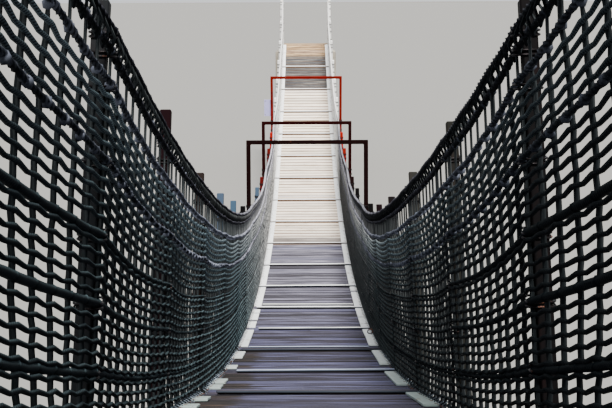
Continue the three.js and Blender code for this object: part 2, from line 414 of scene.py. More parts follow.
# Where the deck turns from painted shade to painted sunlight, then near its far end to painted shade and to
# tan in sun.
SUNLIT_DECK_FROM_Y = joint(10)[0]
SHADED_AGAIN_FROM_Y = joint(17)[0]
TAN_FROM_Y = joint(18)[0] + 0.9
# Where the edge strips turn from greenish painted shade to white painted sunlight.
STRIPS_SHADE_EASES_FROM_Y = -12.5
STRIPS_SUNLIT_WHITE_FROM_Y = -2.5
# Where the ropes and nets change: painted shade near, painted light rising past the middle, white painted
# sunlight far.
ROPES_FULL_SHADE_AT_Y = joint(0)[0]
ROPES_PAINTED_LIGHT_FROM_Y = joint(4)[0]
ROPES_PAINTED_LIGHT_TO_Y = joint(10)[0]
ROPES_SUNLIT_WHITE_FROM_Y = joint(12)[0]
ROPES_SUNLIT_WHITE_TO_Y = joint(14)[0]
# Where pale cords take the painted light sooner, the whole rope starts to take it later by a share of that,
# and ends later still.
LEAD_TAKEN_BACK = 0.42
LEAD_SPREAD = 1.6


def board_finish(name, near, near_light, near_dark, far, far_dark):
    """Weathered boards with their grain across the bridge, with painted shade near and painted sunlight far.
    """
    finish = Finish(name, own_tone=True)
    streaks = finish.noise(2.2, 4.0, 0.6, (0.5, 17.0, 17.0), 0.3)
    fibres = finish.noise(3.0, 5.0, 0.65, (1.3, 60.0, 60.0))
    patches = finish.noise(2.4, 3.0, 0.55, (1.0, 1.6, 1.6))
    checks = finish.noise(2.0, 2.0, 0.4, (0.35, 17.0, 17.0), 0.2)
    wide = finish.noise(1.9, 3.0, 0.55, (0.9, 8.0, 8.0), 0.2)
    crack = finish.thin_line(checks) * finish.band(patches, 0.45, 0.6)
    worn = finish.band(streaks * 0.35 + fibres * 0.2 + wide * 0.45, 0.49, 0.585)
    dim = finish.band(streaks * 0.35 + fibres * 0.25 + wide * 0.4, 0.485, 0.4)
    across = finish.attribute("across")
    along = finish.part(1)
    sunlit_deck = finish.band(along, SUNLIT_DECK_FROM_Y - 0.02, SUNLIT_DECK_FROM_Y + 0.02)
    # Darker towards each board's edges: painted shade in the gaps between boards, and weathering.
    edge = finish.band(across * across + wide * 0.35 + sunlit_deck * 0.12, 0.72, 0.95)

    # The near boards' painted shade eases to grey along the bridge.
    greyer = finish.band(along, GREYER_FROM_Y, GREYER_TO_Y)
    left_end = finish.band(finish.part(0) + patches * 0.34 + streaks * 0.16, -0.1, -0.2)
    rotten = left_end * finish.band(along, ROTTEN_TO_Y, ROTTEN_TO_Y - 1.0)
    dark = finish.layered(
        finish.mix(worn, near, near_light),
        (greyer, finish.mix(worn, (92, 90, 103), (144, 142, 156))),
        (dim * 0.85 + edge * 0.8, finish.mix(greyer, near_dark, (38, 36, 42))),
        (rotten * 0.95, finish.mix(worn, (12, 9, 8), (52, 40, 32))),
    )

    # The first boards past the sunlit joint stay greyer: painted half shade.
    half_shaded_boards = finish.band(along + wide * 0.3, SUNLIT_DECK_FROM_Y + 0.9, SUNLIT_DECK_FROM_Y + 0.6)
    # Near the far end the deck turns grey again: painted shade over the weathered grain.
    shaded_again = finish.band(along, SHADED_AGAIN_FROM_Y - 0.05, SHADED_AGAIN_FROM_Y + 0.05)
    shade_and_weathering = finish.mix(dim * 0.8 + edge * 0.7, (64, 64, 67), (24, 26, 30))
    # Past that shade the deck is tan: painted sunlight again.
    tan = finish.band(along, TAN_FROM_Y - 0.2, TAN_FROM_Y + 0.2)
    painted_sun = finish.mix(dim * 0.7 + edge * 0.8, (150, 122, 90), (58, 42, 30))
    light = finish.layered(
        finish.mix(worn * 0.5, far, (255, 250, 240)),
        (dim * 0.5 + edge * 0.9, far_dark),
        (half_shaded_boards * 0.85, finish.mix(worn, (66, 62, 62), (142, 134, 130))),
        (shaded_again, finish.mix(worn * 0.8, shade_and_weathering, (126, 122, 116))),
        (tan, finish.mix(worn * 0.8, painted_sun, (224, 198, 158))),
    )

    fresh = finish.band(finish.tone, 0.72, 1.0)
    sodden = finish.band(finish.tone, 0.3, 0.0)
    # Faces that don't face up are darker: painted shade on the boards' sides.
    arris = finish.band(finish.upward(), 0.88, 0.6)
    # The near boards' colours are painted shade and the far boards' colours are painted sunlight.
    colour = finish.layered(
        finish.mix(sunlit_deck, dark, light),
        (fresh * (0.42 - sunlit_deck * 0.25), near_light),
        (sodden * (0.75 - sunlit_deck * 0.5), near_dark),
        (crack, (20, 15, 17)),
        (arris * 0.85, finish.mix(sunlit_deck, (20, 14, 16), (112, 88, 70))),
    )
    height = fibres * 0.5 + streaks * 0.35 - crack * 1.2
    finish.coat(colour, finish.band(fibres, 0.3, 0.7, 0.92, 0.68), 0.25, (height, 0.004, 0.75))


def batten_finish():
    """Battens with a painted highlight on top, as strong as their tone says and broken by wear, and slate
    grey in painted shade in front.
    """
    finish = Finish("batten_timber", own_tone=True)
    grain = finish.noise(2.6, 4.0, 0.6, (0.8, 30.0, 30.0))
    patches = finish.noise(2.8, 3.0, 0.55, (1.0, 2.0, 2.0))
    far = finish.band(finish.part(1), joint(8)[0], joint(11)[0])
    sunlit = finish.band(finish.part(1), joint(5)[0] + 0.3, joint(6)[0] + 0.3)
    pale = finish.mix(sunlit, (150, 160, 182), finish.mix(grain, (214, 220, 228), (255, 255, 255)))
    worn = finish.band(finish.tone + patches * 0.6 + grain * 0.3 - 0.45, 0.1, 0.75)
    top = finish.mix(worn, finish.mix(grain, (26, 24, 28), (62, 60, 70)), pale)
    front = finish.mix(far, finish.mix(grain, (24, 27, 34), (60, 68, 80)), (112, 98, 90))
    # The top is lighter than the front: a painted highlight on top, white from the sixth joint on, and
    # painted shade in front.
    colour = finish.mix(finish.band(finish.upward(), 0.45, 0.8), front, top)
    finish.coat(colour, finish.band(grain, 0.3, 0.7, 0.9, 0.7), 0.2, (grain, 0.003, 0.6))


def packing_finish():
    """Near-black packing under the battens: a painted shadow under each batten's front."""
    finish = Finish("tarred_packing")
    grain = finish.noise(60.0, 4.0, 0.6)
    finish.coat(finish.mix(grain, (12, 10, 11), (34, 28, 28)), 0.95, 0.15, (grain, 0.002, 0.6))


def strip_finish():
    """Flat paint on the edge strips, speckled and rubbed through in places, greener near in painted shade and
    white far in painted sunlight.
    """
    finish = Finish("edge_strip_paint", own_tone=True)
    far = finish.band(finish.part(1), STRIPS_SHADE_EASES_FROM_Y, STRIPS_SUNLIT_WHITE_FROM_Y)
    grain = finish.noise(9.0, 4.0, 0.6, (3.0, 1.0, 3.0))
    spots = finish.cells(finish.stretched((1.0, 1.0, 1.0)), 38.0)
    speckle = finish.band(spots + grain * 0.22, 0.33, 0.2) * finish.band(grain, 0.42, 0.55)
    rubbed = finish.band(finish.noise(5.0, 5.0, 0.7, (2.0, 1.0, 2.0)), 0.6, 0.7)
    # Greenish near is painted shade and white far is painted sunlight.
    colour = finish.layered(
        finish.mix(far, (134, 150, 148), (250, 253, 255)),
        (grain * 0.3, finish.mix(far, (120, 130, 128), (206, 212, 212))),
        (rubbed * 0.8, (104, 82, 62)),
        (speckle * 0.85, (38, 34, 36)),
    )
    height = grain * 0.6 - speckle * 0.8 - rubbed * 0.7
    finish.coat(colour, finish.band(grain, 0.3, 0.7, 0.55, 0.8), 0.5, (height, 0.002, 0.6))


def cord_finish(name, near, far, lay=0.0, depth=0.0025, painted_sun=1.0, lit_from=0.2, lead=0.0):
    """Laid rope of three strands, with painted shade in its grooves, a painted highlight on top, painted
    shade near and painted sunlight far.

    Near and far are each a dark colour and a light one: the near ones carry painted shade, the far ones
    painted sunlight. Where no lay is given, the mesh itself is twisted and the strands keep their place in
    the section. Where a lead is given, the palest cords take the far painted sunlight that many metres
    nearer.
    """
    finish = Finish(name)
    tone = finish.attribute("tone")
    section = finish.attribute("section", "Vector")
    turn = finish.maths("ARCTAN2", finish.part(1, section), finish.part(0, section)) * 3.0 + math.pi / 2
    if lay:
        turn = turn + finish.attribute("along") * (6 * math.pi / lay)
    twist = finish.maths("SINE", turn)
    # Darker in the grooves between strands: painted shade.
    groove = finish.band(twist, 0.3, -0.55)
    fuzz = finish.noise(160.0, 3.0, 0.6)
    dirt = finish.noise(4.0, 3.0, 0.6)
    # The upper side is lighter: a painted highlight, broken up by dirt and fuzz.
    paleness = finish.band(finish.upward() + dirt * 0.8 + fuzz * 0.3, lit_from, lit_from + 1.15)
    along = finish.part(1)
    late = LEAD_TAKEN_BACK * lead
    painted_light_from, painted_light_to = ROPES_PAINTED_LIGHT_FROM_Y + late, ROPES_PAINTED_LIGHT_TO_Y + late * LEAD_SPREAD
    painted_light_share = finish.band(along + tone * lead, painted_light_from, painted_light_to)
    light = finish.mix(painted_light_share, near[1], far[1])
    # The ropes on the right side are darker: painted shade.
    right_side_shade = finish.band(finish.part(0), 0.0, 0.3)
    colour = finish.layered(
        finish.mix(painted_light_share, near[0], far[0]),
        (paleness * painted_sun, light),
        (tone, finish.mix(painted_light_share, (134, 156, 166), far[1]) if lead else light),
        (groove * 0.8, finish.mix(painted_light_share, (14, 17, 19), (84, 84, 88))),
        (right_side_shade * (0.85 - tone * 0.65) if lead else right_side_shade * 0.55, near[0]),
        # Painted shade over the near end, and painted sunlight making the far end white.
        (finish.band(along, ROPES_PAINTED_LIGHT_FROM_Y, ROPES_FULL_SHADE_AT_Y) * 0.72, (14, 19, 22)),
        (finish.band(along, ROPES_SUNLIT_WHITE_FROM_Y, ROPES_SUNLIT_WHITE_TO_Y) * 0.85, (240, 240, 238)),
    )
    finish.coat(colour, finish.band(fuzz, 0.3, 0.7, 0.8, 0.97), 0.03, (twist * 0.5 + fuzz * 0.4, depth, 0.8))


def paint_finish(name, left, right, wear):
    """Gloss paint over steel, chipped to rust. Its colour may differ on the two posts of a frame."""
    finish = Finish(name)
    flakes = finish.noise(26.0, 6.0, 0.62, (1.0, 1.0, 0.45))
    clouds = finish.noise(5.0, 4.0, 0.6)
    streaks = finish.noise(3.0, 4.0, 0.6, (9.0, 9.0, 0.7))
    chipped = finish.band(flakes * 0.6 + clouds * 0.4, 0.66 - wear * 0.12, 0.69 - wear * 0.12)
    colour = finish.layered(
        finish.mix(finish.band(finish.part(0), -0.3, 0.3), left, right),
        (finish.band(streaks, 0.5, 0.8) * 0.08, (62, 30, 26)),
        (finish.band(clouds, 0.5, 0.3) * 0.35, (12, 10, 12)),
        (chipped, finish.mix(clouds, (40, 18, 11), (84, 42, 24))),
    )
    roughness = finish.band(chipped + streaks * 0.4, 0.1, 0.9, 0.5, 0.85)
    return finish.coat(colour, roughness, 0.02, (flakes * 0.25 - chipped * 0.6, 0.0012, 0.7))


def steel_finish(name, base, rust_share):
    finish = Finish(name)
    clouds = finish.noise(22.0, 5.0, 0.65)
    rusty = finish.band(clouds, 0.62 - rust_share * 0.2, 0.7 - rust_share * 0.2)
    roughness = finish.band(rusty, 0.0, 1.0, 0.38, 0.85)
    metallic = finish.band(rusty, 0.0, 1.0, 0.85, 0.1)
    finish.coat(finish.mix(rusty, base, (96, 54, 32)), roughness, 0.5, (clouds, 0.001, 0.6), metallic)


# The height of the boards that the concrete was cast against.
FORMWORK_BOARD = 0.16


def concrete_finish():
    """Concrete cast against rough boards, streaked below its top edge and stained from the ground up."""
    finish = Finish("board_marked_concrete")
    level = finish.part(2)
    boards_up = level / FORMWORK_BOARD
    lifts = finish.maths("FRACT", boards_up)
    seam = finish.band(lifts, 0.06, 0.0) + finish.band(lifts, 0.95, 1.0)
    # Multiplying by a large odd number gives each board a tone of its own.
    board_tone = finish.maths("SINE", finish.maths("FLOOR", boards_up) * 12.9898) * 0.5 + 0.5
    grain = finish.noise(3.0, 5.0, 0.6, (1.2, 1.2, 24.0))
    pits = finish.band(finish.cells(finish.place, 30.0), 0.16, 0.06)
    clouds = finish.noise(1.6, 5.0, 0.6)
    runs = finish.noise(2.0, 4.0, 0.6, (7.0, 7.0, 0.35))
    colour = finish.layered(
        finish.mix(clouds, (126, 122, 112), (178, 172, 160)),
        (board_tone * 0.25, (150, 140, 124)),
        (finish.band(runs, 0.5, 0.72) * 0.55, (84, 82, 76)),
        (finish.band(level + clouds * 0.5, 0.75, 0.2) * 0.6, (78, 84, 62)),
        (pits * 0.5 + seam * 0.35, (70, 68, 64)),
    )
    height = grain * 0.5 + board_tone * 0.3 - seam * 0.8 - pits * 0.7
    return finish.coat(colour, finish.band(grain, 0.3, 0.7, 0.96, 0.82), 0.25, (height, 0.006, 0.8))


def plate_finish():
    finish = Finish("notice_plate_enamel")
    clouds = finish.noise(6.0, 4.0, 0.55)
    dirt = finish.band(finish.noise(3.0, 5.0, 0.6, (14.0, 14.0, 2.0)), 0.55, 0.8)
    clean = finish.mix(clouds, (158, 156, 206), (176, 174, 218))
    colour = finish.mix(dirt * 0.25, clean, (128, 126, 146))
    return finish.coat(colour, finish.band(dirt, 0.0, 1.0, 0.3, 0.6), 0.5, (clouds, 0.0008, 0.4))


def make_finishes():
    """The finishes that pieces ask for by name. Frames, abutments and the plate make their own."""
    # The deck's near colours are painted shade and its far colours painted sunlight; the bearers take the
    # same.
    purple_grey = ((40, 36, 48), (84, 86, 120), (14, 11, 13))
    board_finish("weathered_deck_boards", *purple_grey, (238, 226, 210), (122, 98, 78))
    brown = ((84, 70, 62), (120, 106, 94), (44, 34, 30))
    board_finish("bearer_timber", *brown, (130, 112, 94), (92, 76, 62))
    batten_finish()
    packing_finish()
    strip_finish()
    # Each rope's near colours carry painted shade and its far colours painted sunlight.
    cord_finish("dark_laid_rope", ((24, 25, 28), (82, 82, 92)), ((96, 97, 104), (168, 168, 180)))
    cord_finish("dark_cord", ((12, 13, 15), (90, 95, 96)), ((96, 96, 98), (186, 186, 188)), depth=0.001)
    pale, far_pale = (144, 150, 168), (216, 214, 226)
    cord_finish("pale_laid_rope", ((30, 34, 39), pale), ((104, 104, 114), far_pale), painted_sun=0.35)
    cord_finish("pale_cord", ((46, 51, 60), pale), ((120, 120, 130), far_pale), 0.06, 0.002)
    net, far_net = ((7, 10, 12), (98, 118, 124)), ((116, 118, 118), (214, 213, 208))
    cord_finish("net_cord", net, far_net, 0.05, 0.0012, lit_from=0.6, lead=PALE_CORD_LEADS)
    lacing, far_lacing = ((26, 31, 36), (178, 192, 210)), ((176, 176, 176), (232, 230, 226))
    cord_finish("lacing_cord", lacing, far_lacing, 0.04, 0.0012, painted_sun=0.4)
    steel_finish("rusty_steel", (96, 92, 90), 0.75)
    steel_finish("weld_metal", (42, 30, 30), 0.4)
    steel_finish("tie_wire", (22, 19, 21), 0.0)
    steel_finish("wire_rope", (120, 122, 124), 0.2)


# What the points of a mesh carry that isn't a plain number.
NUMBER_KINDS = {"turn": "FLOAT_VECTOR", "stretch": "FLOAT_VECTOR", "kind": "INT"}


def add_numbers(mesh, name, values):
    """Puts one number, or one set of three, on each point of a mesh."""
    kind = NUMBER_KINDS.get(name, "FLOAT")
    layer = mesh.attributes.new(name, kind, "POINT")
    if kind == "FLOAT_VECTOR":
        layer.data.foreach_set("vector", [level for value in values for level in value])
    else:
        layer.data.foreach_set("value", values)


class Plan(Nodes):
    """A tree of geometry nodes with named inputs for its sizes."""

    def __init__(self, name, inputs):
        super().__init__(bpy.data.node_groups.new(name, "GeometryNodeTree"))
        sockets = self.tree.interface
        sockets.new_socket("Geometry", in_out="INPUT", socket_type="NodeSocketGeometry")
        for label, kind in (*inputs, ("Material", "Material")):
            sockets.new_socket(label, in_out="INPUT", socket_type="NodeSocket" + kind)
        sockets.new_socket("Geometry", in_out="OUTPUT", socket_type="NodeSocketGeometry")
        self.given = self.tree.nodes.new("NodeGroupInput")

    def input(self, label):
        return Signal(self, self.given.outputs[label])

    def named(self, name):
        kind = NUMBER_KINDS.get(name, "FLOAT")
        return self.node("GeometryNodeInputNamedAttribute", {"data_type": kind}, {"Name": name})

    def close(self, geometry):
        real = self.node("GeometryNodeRealizeInstances", None, {"Geometry": geometry})
        dressed = {"Geometry": real, "Material": self.input("Material")}
        result = self.node("GeometryNodeSetMaterial", None, dressed)
        self.tree.links.new(result.socket, self.tree.nodes.new("NodeGroupOutput").inputs[0])

    def run(self, name, mesh, values):
        """Runs the tree on a mesh and gives the plain mesh it makes, as an object of its own."""
        source = show(name + "_source", mesh)
        modifier = source.modifiers.new("plan", "NODES")
        modifier.node_group = self.tree
        for item in self.tree.interface.items_tree:
            if item.in_out == "INPUT" and item.name in values:
                modifier[item.identifier] = values[item.name]
        made = bpy.data.meshes.new_from_object(source.evaluated_get(bpy.context.evaluated_depsgraph_get()))
        bpy.data.objects.remove(source)
        made.name = name
        return show(name, made)


def show(name, mesh):
    piece = bpy.data.objects.new(name, mesh)
    bpy.context.scene.collection.objects.link(piece)
    return piece


@functools.cache
def cord_plan():
    """Cords along lines: a round or lobed section is drawn along each, as thick as the line's girth says."""
    plan = Plan("lay_cords", (("Sides", "Int"), ("Groove", "Float")))
    curve = plan.node("GeometryNodeMeshToCurve", None, {"Mesh": plan.input("Geometry")})
    turned = plan.node("GeometryNodeSetCurveTilt", None, {"Curve": curve, "Tilt": plan.named("twist")})
    sizes = {"Resolution": plan.input("Sides"), "Radius": 1.0}
    circle = plan.node("GeometryNodeCurvePrimitiveCircle", None, sizes)
    position = plan.node("GeometryNodeInputPosition")
    stored = plan.node(
        "GeometryNodeStoreNamedAttribute",
        {"data_type": "FLOAT_VECTOR", "domain": "POINT"},
        {"Geometry": circle, "Name": "section", "Value": position},
    )
    every_other = plan.maths("MODULO", plan.node("GeometryNodeInputIndex"), 2.0)
    shrink = 1.0 - every_other * plan.input("Groove")
    lobed = plan.node("ShaderNodeVectorMath", {"operation": "SCALE"}, {0: position, "Scale": shrink})
    profile = plan.node("GeometryNodeSetPosition", None, {"Geometry": stored, "Position": lobed})
    drawn = {"Curve": turned, "Profile Curve": profile, "Scale": plan.named("girth"), "Fill Caps": True}
    mesh = plan.node("GeometryNodeCurveToMesh", None, drawn)
    plan.close(plan.node("GeometryNodeSetShadeSmooth", None, {"Geometry": mesh}))
    return plan


@functools.cache
def setting_out_plan(kinds):
    """Sets one of several like pieces at each point, turned and stretched as the point says."""
    labels = [f"Piece {number + 1}" for number in range(kinds)]
    plan = Plan(f"set_out_{kinds}_kinds", [(label, "Object") for label in labels])
    singles = []
    for label in reversed(labels):
        piece = plan.node("GeometryNodeObjectInfo", None, {"Object": plan.input(label)}, "Geometry")
        singles.append(plan.node("GeometryNodeGeometryToInstance", None, {"Geometry": piece}))
    placed = {
        "Points": plan.input("Geometry"),
        "Instance": plan.node("GeometryNodeJoinGeometry", None, {"Geometry": singles}),
        "Pick Instance": True,
        "Instance Index": plan.named("kind"),
        "Rotation": plan.node("FunctionNodeEulerToRotation", None, {"Euler": plan.named("turn")}),
        "Scale": plan.named("stretch"),
    }
    plan.close(plan.node("GeometryNodeInstanceOnPoints", None, placed))
    return plan


class Marks:
    """Points, and the numbers that each carries for the plan that is run on them."""

    def __init__(self, *labels):
        self.points = []
        self.edges = []
        self.numbers = {label: [] for label in labels}

    def mark(self, point, *values):
        self.points.append(point)
        for label, value in zip(self.numbers, values):
            self.numbers[label].append(value)

    def run(self, plan, name, finish, values):
        mesh = bpy.data.meshes.new(name + "_points")
        mesh.from_pydata(self.points, self.edges, [])
        for label, numbers in self.numbers.items():
            add_numbers(mesh, label, numbers)
        return plan.run(name, mesh, {**values, "Material": bpy.data.materials[finish]})


class Runs(Marks):
    """Lines for cords to follow, with how thick, how turned and how pale the cord is at each point."""

    def __init__(self):
        super().__init__("girth", "twist", "along", "tone")

    def add(self, points, girth, lay=0.0, tone=0.0):
        """One line. Its girth and tone are one number each, or lists with a number for each point."""
        first = len(self.points)
        along = 0.0
        previous = points[0]
        girths = girth if isinstance(girth, list) else [girth] * len(points)
        tones = tone if isinstance(tone, list) else [tone] * len(points)
        for point, width, paleness in zip(points, girths, tones):
            along += (point - previous).length
            previous = point
            self.mark(point, width, 2 * math.pi * along / lay if lay else 0.0, along, paleness)
        self.edges.extend((index, index + 1) for index in range(first, first + len(points) - 1))

    def lay(self, name, finish, slot, sides, groove=0.0, replaces=()):
        made = self.run(cord_plan(), name, finish, {"Sides": sides, "Groove": groove})
        finished(made, replaces)


class Places(Marks):
    """Points that like pieces are set out on."""

    def __init__(self):
        super().__init__("turn", "stretch", "kind", "tone")

    def add(self, point, turn=(0.0, 0.0, 0.0), stretch=(1.0, 1.0, 1.0), kind=0, tone=0.0):
        self.mark(point, turn, stretch, kind, tone)

    def set_out(self, name, finish, slot, pieces, replaces=()):
        values = {f"Piece {number + 1}": piece for number, piece in enumerate(pieces)}
        finished(self.run(setting_out_plan(len(pieces)), name, finish, values), replaces)


TEMPLATES = []


def mesh_of(name, shape):
    mesh = bpy.data.meshes.new(name)
    shape.to_mesh(mesh)
    shape.free()
    return mesh


def template(name, shape):
    """A piece to be set out many times. It is taken away when all are placed."""
    mesh = mesh_of(name, shape)
    half = max(vert.co.y for vert in mesh.vertices)
    add_numbers(mesh, "across", [vert.co.y / half for vert in mesh.vertices])
    piece = show(name, mesh)
    TEMPLATES.append(piece)
    return piece


def finished(piece, replaces=()):
    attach(piece, "root")
    if replaces:
        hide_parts(*replaces)


def lofted(rings):
    """A closed skin through rings of points."""
    shape = bmesh.new()
    rows = [[shape.verts.new(point) for point in ring] for ring in rings]
    count = len(rows[0])
    for first, second in zip(rows, rows[1:]):
        for index in range(count):
            after = (index + 1) % count
            shape.faces.new((first[index], first[after], second[after], second[index]))
    shape.faces.new(list(reversed(rows[0])))
    shape.faces.new(rows[-1])
    bmesh.ops.recalc_face_normals(shape, faces=shape.faces)
    return shape


def joined(shapes):
    """One shape made of several, which are used up."""
    whole = bmesh.new()
    for shape in shapes:
        part = mesh_of("part", shape)
        whole.from_mesh(part)
        bpy.data.meshes.remove(part)
    return whole


def level_ring(corners, radius, height):
    turns = [2 * math.pi * corner / corners for corner in range(corners)]
    return [Vector((math.cos(turn) * radius, math.sin(turn) * radius, height)) for turn in turns]


def plank(rng, length, width, thickness, arris, wobble, steps):
    """A sawn board along X, its top at height 0, its arrises rubbed round and its edges a little wavy."""
    rings = []
    stations = [0.0, arris / length] + [(step + 1) / (steps + 1) for step in range(steps)]
    stations += [1.0 - arris / length, 1.0]
    for order, station in enumerate(stations):
        end = order in (0, len(stations) - 1)
        inset = arris * 0.8 if end else 0.0
        near = -width / 2 + inset + rng.uniform(-wobble, wobble)
        far = width / 2 - inset + rng.uniform(-wobble, wobble)
        top = -inset * 0.7 + rng.uniform(-wobble, 0.0) * 0.6
        low = -thickness + inset * 0.5
        x = (station - 0.5) * length
        section = (
            (near + arris, top), (far - arris, top), (far, top - arris), (far, low + arris),
            (far - arris, low), (near + arris, low), (near, low + arris), (near, top - arris),
        )
        rings.append([Vector((x, y, z)) for y, z in section])
    return lofted(rings)


def planks(rng, kinds, *sizes):
    """Planks of one size to set out by turns, each sawn a little differently."""
    return [template("plank", plank(rng, *sizes)) for _ in range(kinds)]


def knot_shape():
    shape = bmesh.new()
    bmesh.ops.create_icosphere(shape, subdivisions=1, radius=1.0)
    for face in shape.faces:
        face.smooth = True
    return shape


def bolt_head_shape():
    """A hexagon head on a round washer, standing up from height 0."""
    size = 0.012
    washer = ((1.45, 0.0), (1.45, 0.2), (1.35, 0.28), (0.1, 0.28))
    head = ((1.0, 0.25), (1.0, 0.92), (0.88, 1.0))
    parts = []
    for corners, rows in ((12, washer), (6, head)):
        parts.append(lofted([level_ring(corners, size * reach, size * height) for reach, height in rows]))
    return joined(parts)


def eye_shape():
    """A flat ring round a dark hole."""
    return lofted([level_ring(8, *row) for row in ((0.0095, -0.001), (0.0085, 0.001), (0.0045, -0.0002))])


# The camera, fitted to the joints and frames of the photo.
CAMERA_PLACE = (-0.0216, -18.718, 4.663)
CAMERA_PITCH = math.radians(90 - 9.285)
CAMERA_ROLL = -0.00447
CAMERA_YAW = -0.00036
CAMERA_LENS = 73.19
SENSOR_WIDTH = 36.0
SEES_FROM = 0.05
SEES_TO = 12000.0
FLOOR_REACH = 4000.0
FLOOR_GREY = (122, 122, 120)
SKY_COLOUR = (0.9, 0.92, 0.96, 1.0)
SKY_STRENGTH = 1.05
SUN_STRENGTH = 11.0
SUN_SPREAD = math.radians(18)
SUN_COLOUR = (1.0, 0.96, 0.9)
SUN_TURN = (math.radians(30), math.radians(4), math.radians(3))


def add_stage():
    scene = bpy.context.scene
    camera = show("camera", bpy.data.cameras.new("camera"))
    camera.data.lens = CAMERA_LENS
    camera.data.sensor_width = SENSOR_WIDTH
    camera.data.clip_start = SEES_FROM
    camera.data.clip_end = SEES_TO
    turn = Matrix.Rotation(CAMERA_YAW, 4, "Z") @ Matrix.Rotation(CAMERA_PITCH, 4, "X")
    turn = turn @ Matrix.Rotation(CAMERA_ROLL, 4, "Z")
    camera.matrix_world = Matrix.Translation(CAMERA_PLACE) @ turn
    scene.camera = camera

    mesh = bpy.data.meshes.new("floor")
    corners = [(FLOOR_REACH * x, FLOOR_REACH * y, 0.0) for x, y in ((-1, -1), (1, -1), (1, 1), (-1, 1))]
    mesh.from_pydata(corners, [], [(0, 1, 2, 3)])
    mesh.materials.append(Finish("pale_floor").coat(FLOOR_GREY, 0.95, 0.1))
    floor = show("floor", mesh)

    scene.world = bpy.data.worlds.new("soft_sky")
    scene.world.use_nodes = True
    sky = scene.world.node_tree.nodes["Background"]
    sky.inputs["Color"].default_value = SKY_COLOUR
    sky.inputs["Strength"].default_value = SKY_STRENGTH

    sun = show("soft_sun", bpy.data.lights.new("soft_sun", "SUN"))
    sun.data.energy = SUN_STRENGTH
    sun.data.angle = SUN_SPREAD
    sun.data.color = SUN_COLOUR
    sun.rotation_euler = SUN_TURN


def add_boards(places, rng, bay, distance, widths, typical, sink, rock, skew):
    """Boards side by side across a bay, each sunk, rocked and skewed by a little of its own."""
    for width in widths:
        middle = bay.point(rng.uniform(-0.002, 0.002), distance + width / 2, -rng.uniform(0.0, sink))
        turn = (bay.slope + rng.uniform(-rock, rock), rng.uniform(-skew, skew), rng.uniform(-0.001, 0.001))
        places.add(middle, turn, (1.0, width / typical, 1.0), rng.randrange(BOARD_KINDS), rng.random())
        distance += width + BOARD_GAP


def add_deck():
    """Boards across the deck, bay by bay, and over both landings, then what lies under and on the boards."""
    rng = random.Random(11)
    gaps = (BOARDS_PER_BAY - 1) * BOARD_GAP
    typical = (BAY - PANEL_GAP - gaps) / BOARDS_PER_BAY
    boards = planks(rng, BOARD_KINDS, DECK_WIDTH - 0.006, typical, BOARD_THICKNESS, 0.006, 0.0022, 7)
    places = Places()
    for index in range(BAYS):
        bay = deck_bay(index)
        shares = [rng.uniform(0.93, 1.07) for _ in range(BOARDS_PER_BAY)]
        scale = (bay.length - PANEL_GAP - gaps) / sum(shares)
        widths = [share * scale for share in shares]
        add_boards(places, rng, bay, PANEL_GAP / 2, widths, typical, 0.005, 0.014, 0.0015)
    bays = [f"deck_bay_{index + 1:02d}" for index in range(BAYS)]
    places.set_out("deck_boards", "weathered_deck_boards", "deck_boards", boards, bays)
    for index, word in ENDS:
        landing = Places()
        bay = landing_bay(index)
        width = (bay.length - PANEL_GAP / 2 - (BOARDS_PER_LANDING - 1) * BOARD_GAP) / BOARDS_PER_LANDING
        start = 0.0 if index == 0 else PANEL_GAP / 2
        widths = [width] * BOARDS_PER_LANDING
        add_boards(landing, rng, bay, start, widths, boards[0].dimensions.y, 0.002, 0.004, 0.001)
        name = f"{word}_landing_boards"
        landing.set_out(name, "weathered_deck_boards", "landing_boards", boards, [f"{word}_landing_deck"])
    add_bearers(rng)
    add_sleepers(rng)
    add_battens(rng)
    add_edge_strips(rng)


def add_bearers(rng):
    """Two squared timbers under each bay, from cross beam to cross beam."""
    depth = BEARER_BOTTOM - BOARD_THICKNESS - 0.0012
    timber = planks(rng, 1, BAY, BEARER_WIDTH, depth, 0.004, 0.0012, 5)
    places = Places()
    for index in range(BAYS):
        bay = deck_bay(index)
        stretch = ((bay.length - 2 * BEARER_END_CUT) / BAY, 1.0, 1.0)
        direction = Matrix.Rotation(bay.slope, 3, "X") @ Matrix.Rotation(math.pi / 2, 3, "Z")
        for side, _ in SIDES:
            middle = bay.point(side * BEARER_X, bay.length / 2, -BOARD_THICKNESS - 0.0008)
            places.add(middle, tuple(direction.to_euler()), stretch, 0, rng.random())
    places.set_out("deck_bearers", "bearer_timber", "deck_boards", timber)


def add_sleepers(rng):
    """Three timbers across each abutment carry the landing's boards."""
    for index, word in ENDS:
        _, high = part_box(f"{word}_abutment")
        along, up, _ = joint(index)
        depth = up - BOARD_THICKNESS - 0.0016 - high.z
        sleeper = planks(rng, 1, DECK_WIDTH - 0.02, SLEEPER_WIDTH, depth, 0.006, 0.002, 5)
        places = Places()
        outwards = -1 if index == 0 else 1
        first = TUBE / 2 + SLEEPER_WIDTH
        last = LANDING + LANDING_BACK - SLEEPER_WIDTH / 2 - 0.002
        for distance in (first, (first + last) / 2, last):
            place = Vector((0.0, along + outwards * distance, up - BOARD_THICKNESS - 0.001))
            places.add(place, tone=rng.random())
        places.set_out(f"{word}_landing_sleepers", "bearer_timber", "landing_boards", sleeper)


# How strong the painted highlight on top of the near joints' battens is, and how much of their left end is
# missing.
BATTEN_TOP_HIGHLIGHTS = {1: 0.0, 2: 0.1, 3: -0.3, 4: 0.6, 5: -0.2, 6: 0.45, 7: 0.95, 8: 0.8, 9: 0.7, 10: 0.6}
BATTENS_CUT_SHORT = {1: 0.1, 2: 0.09, 3: 0.08, 4: 0.1, 5: 0.04, 6: 0.12, 7: 0.03}
BAYS_WITH_SECOND_BATTEN = (5, 7, 12)
SECOND_BATTEN_SIZE = (0.86, 0.7, 0.5)
SECOND_BATTEN_PAST = 0.3
FAR_BATTEN_TOP_HIGHLIGHT = 0.85


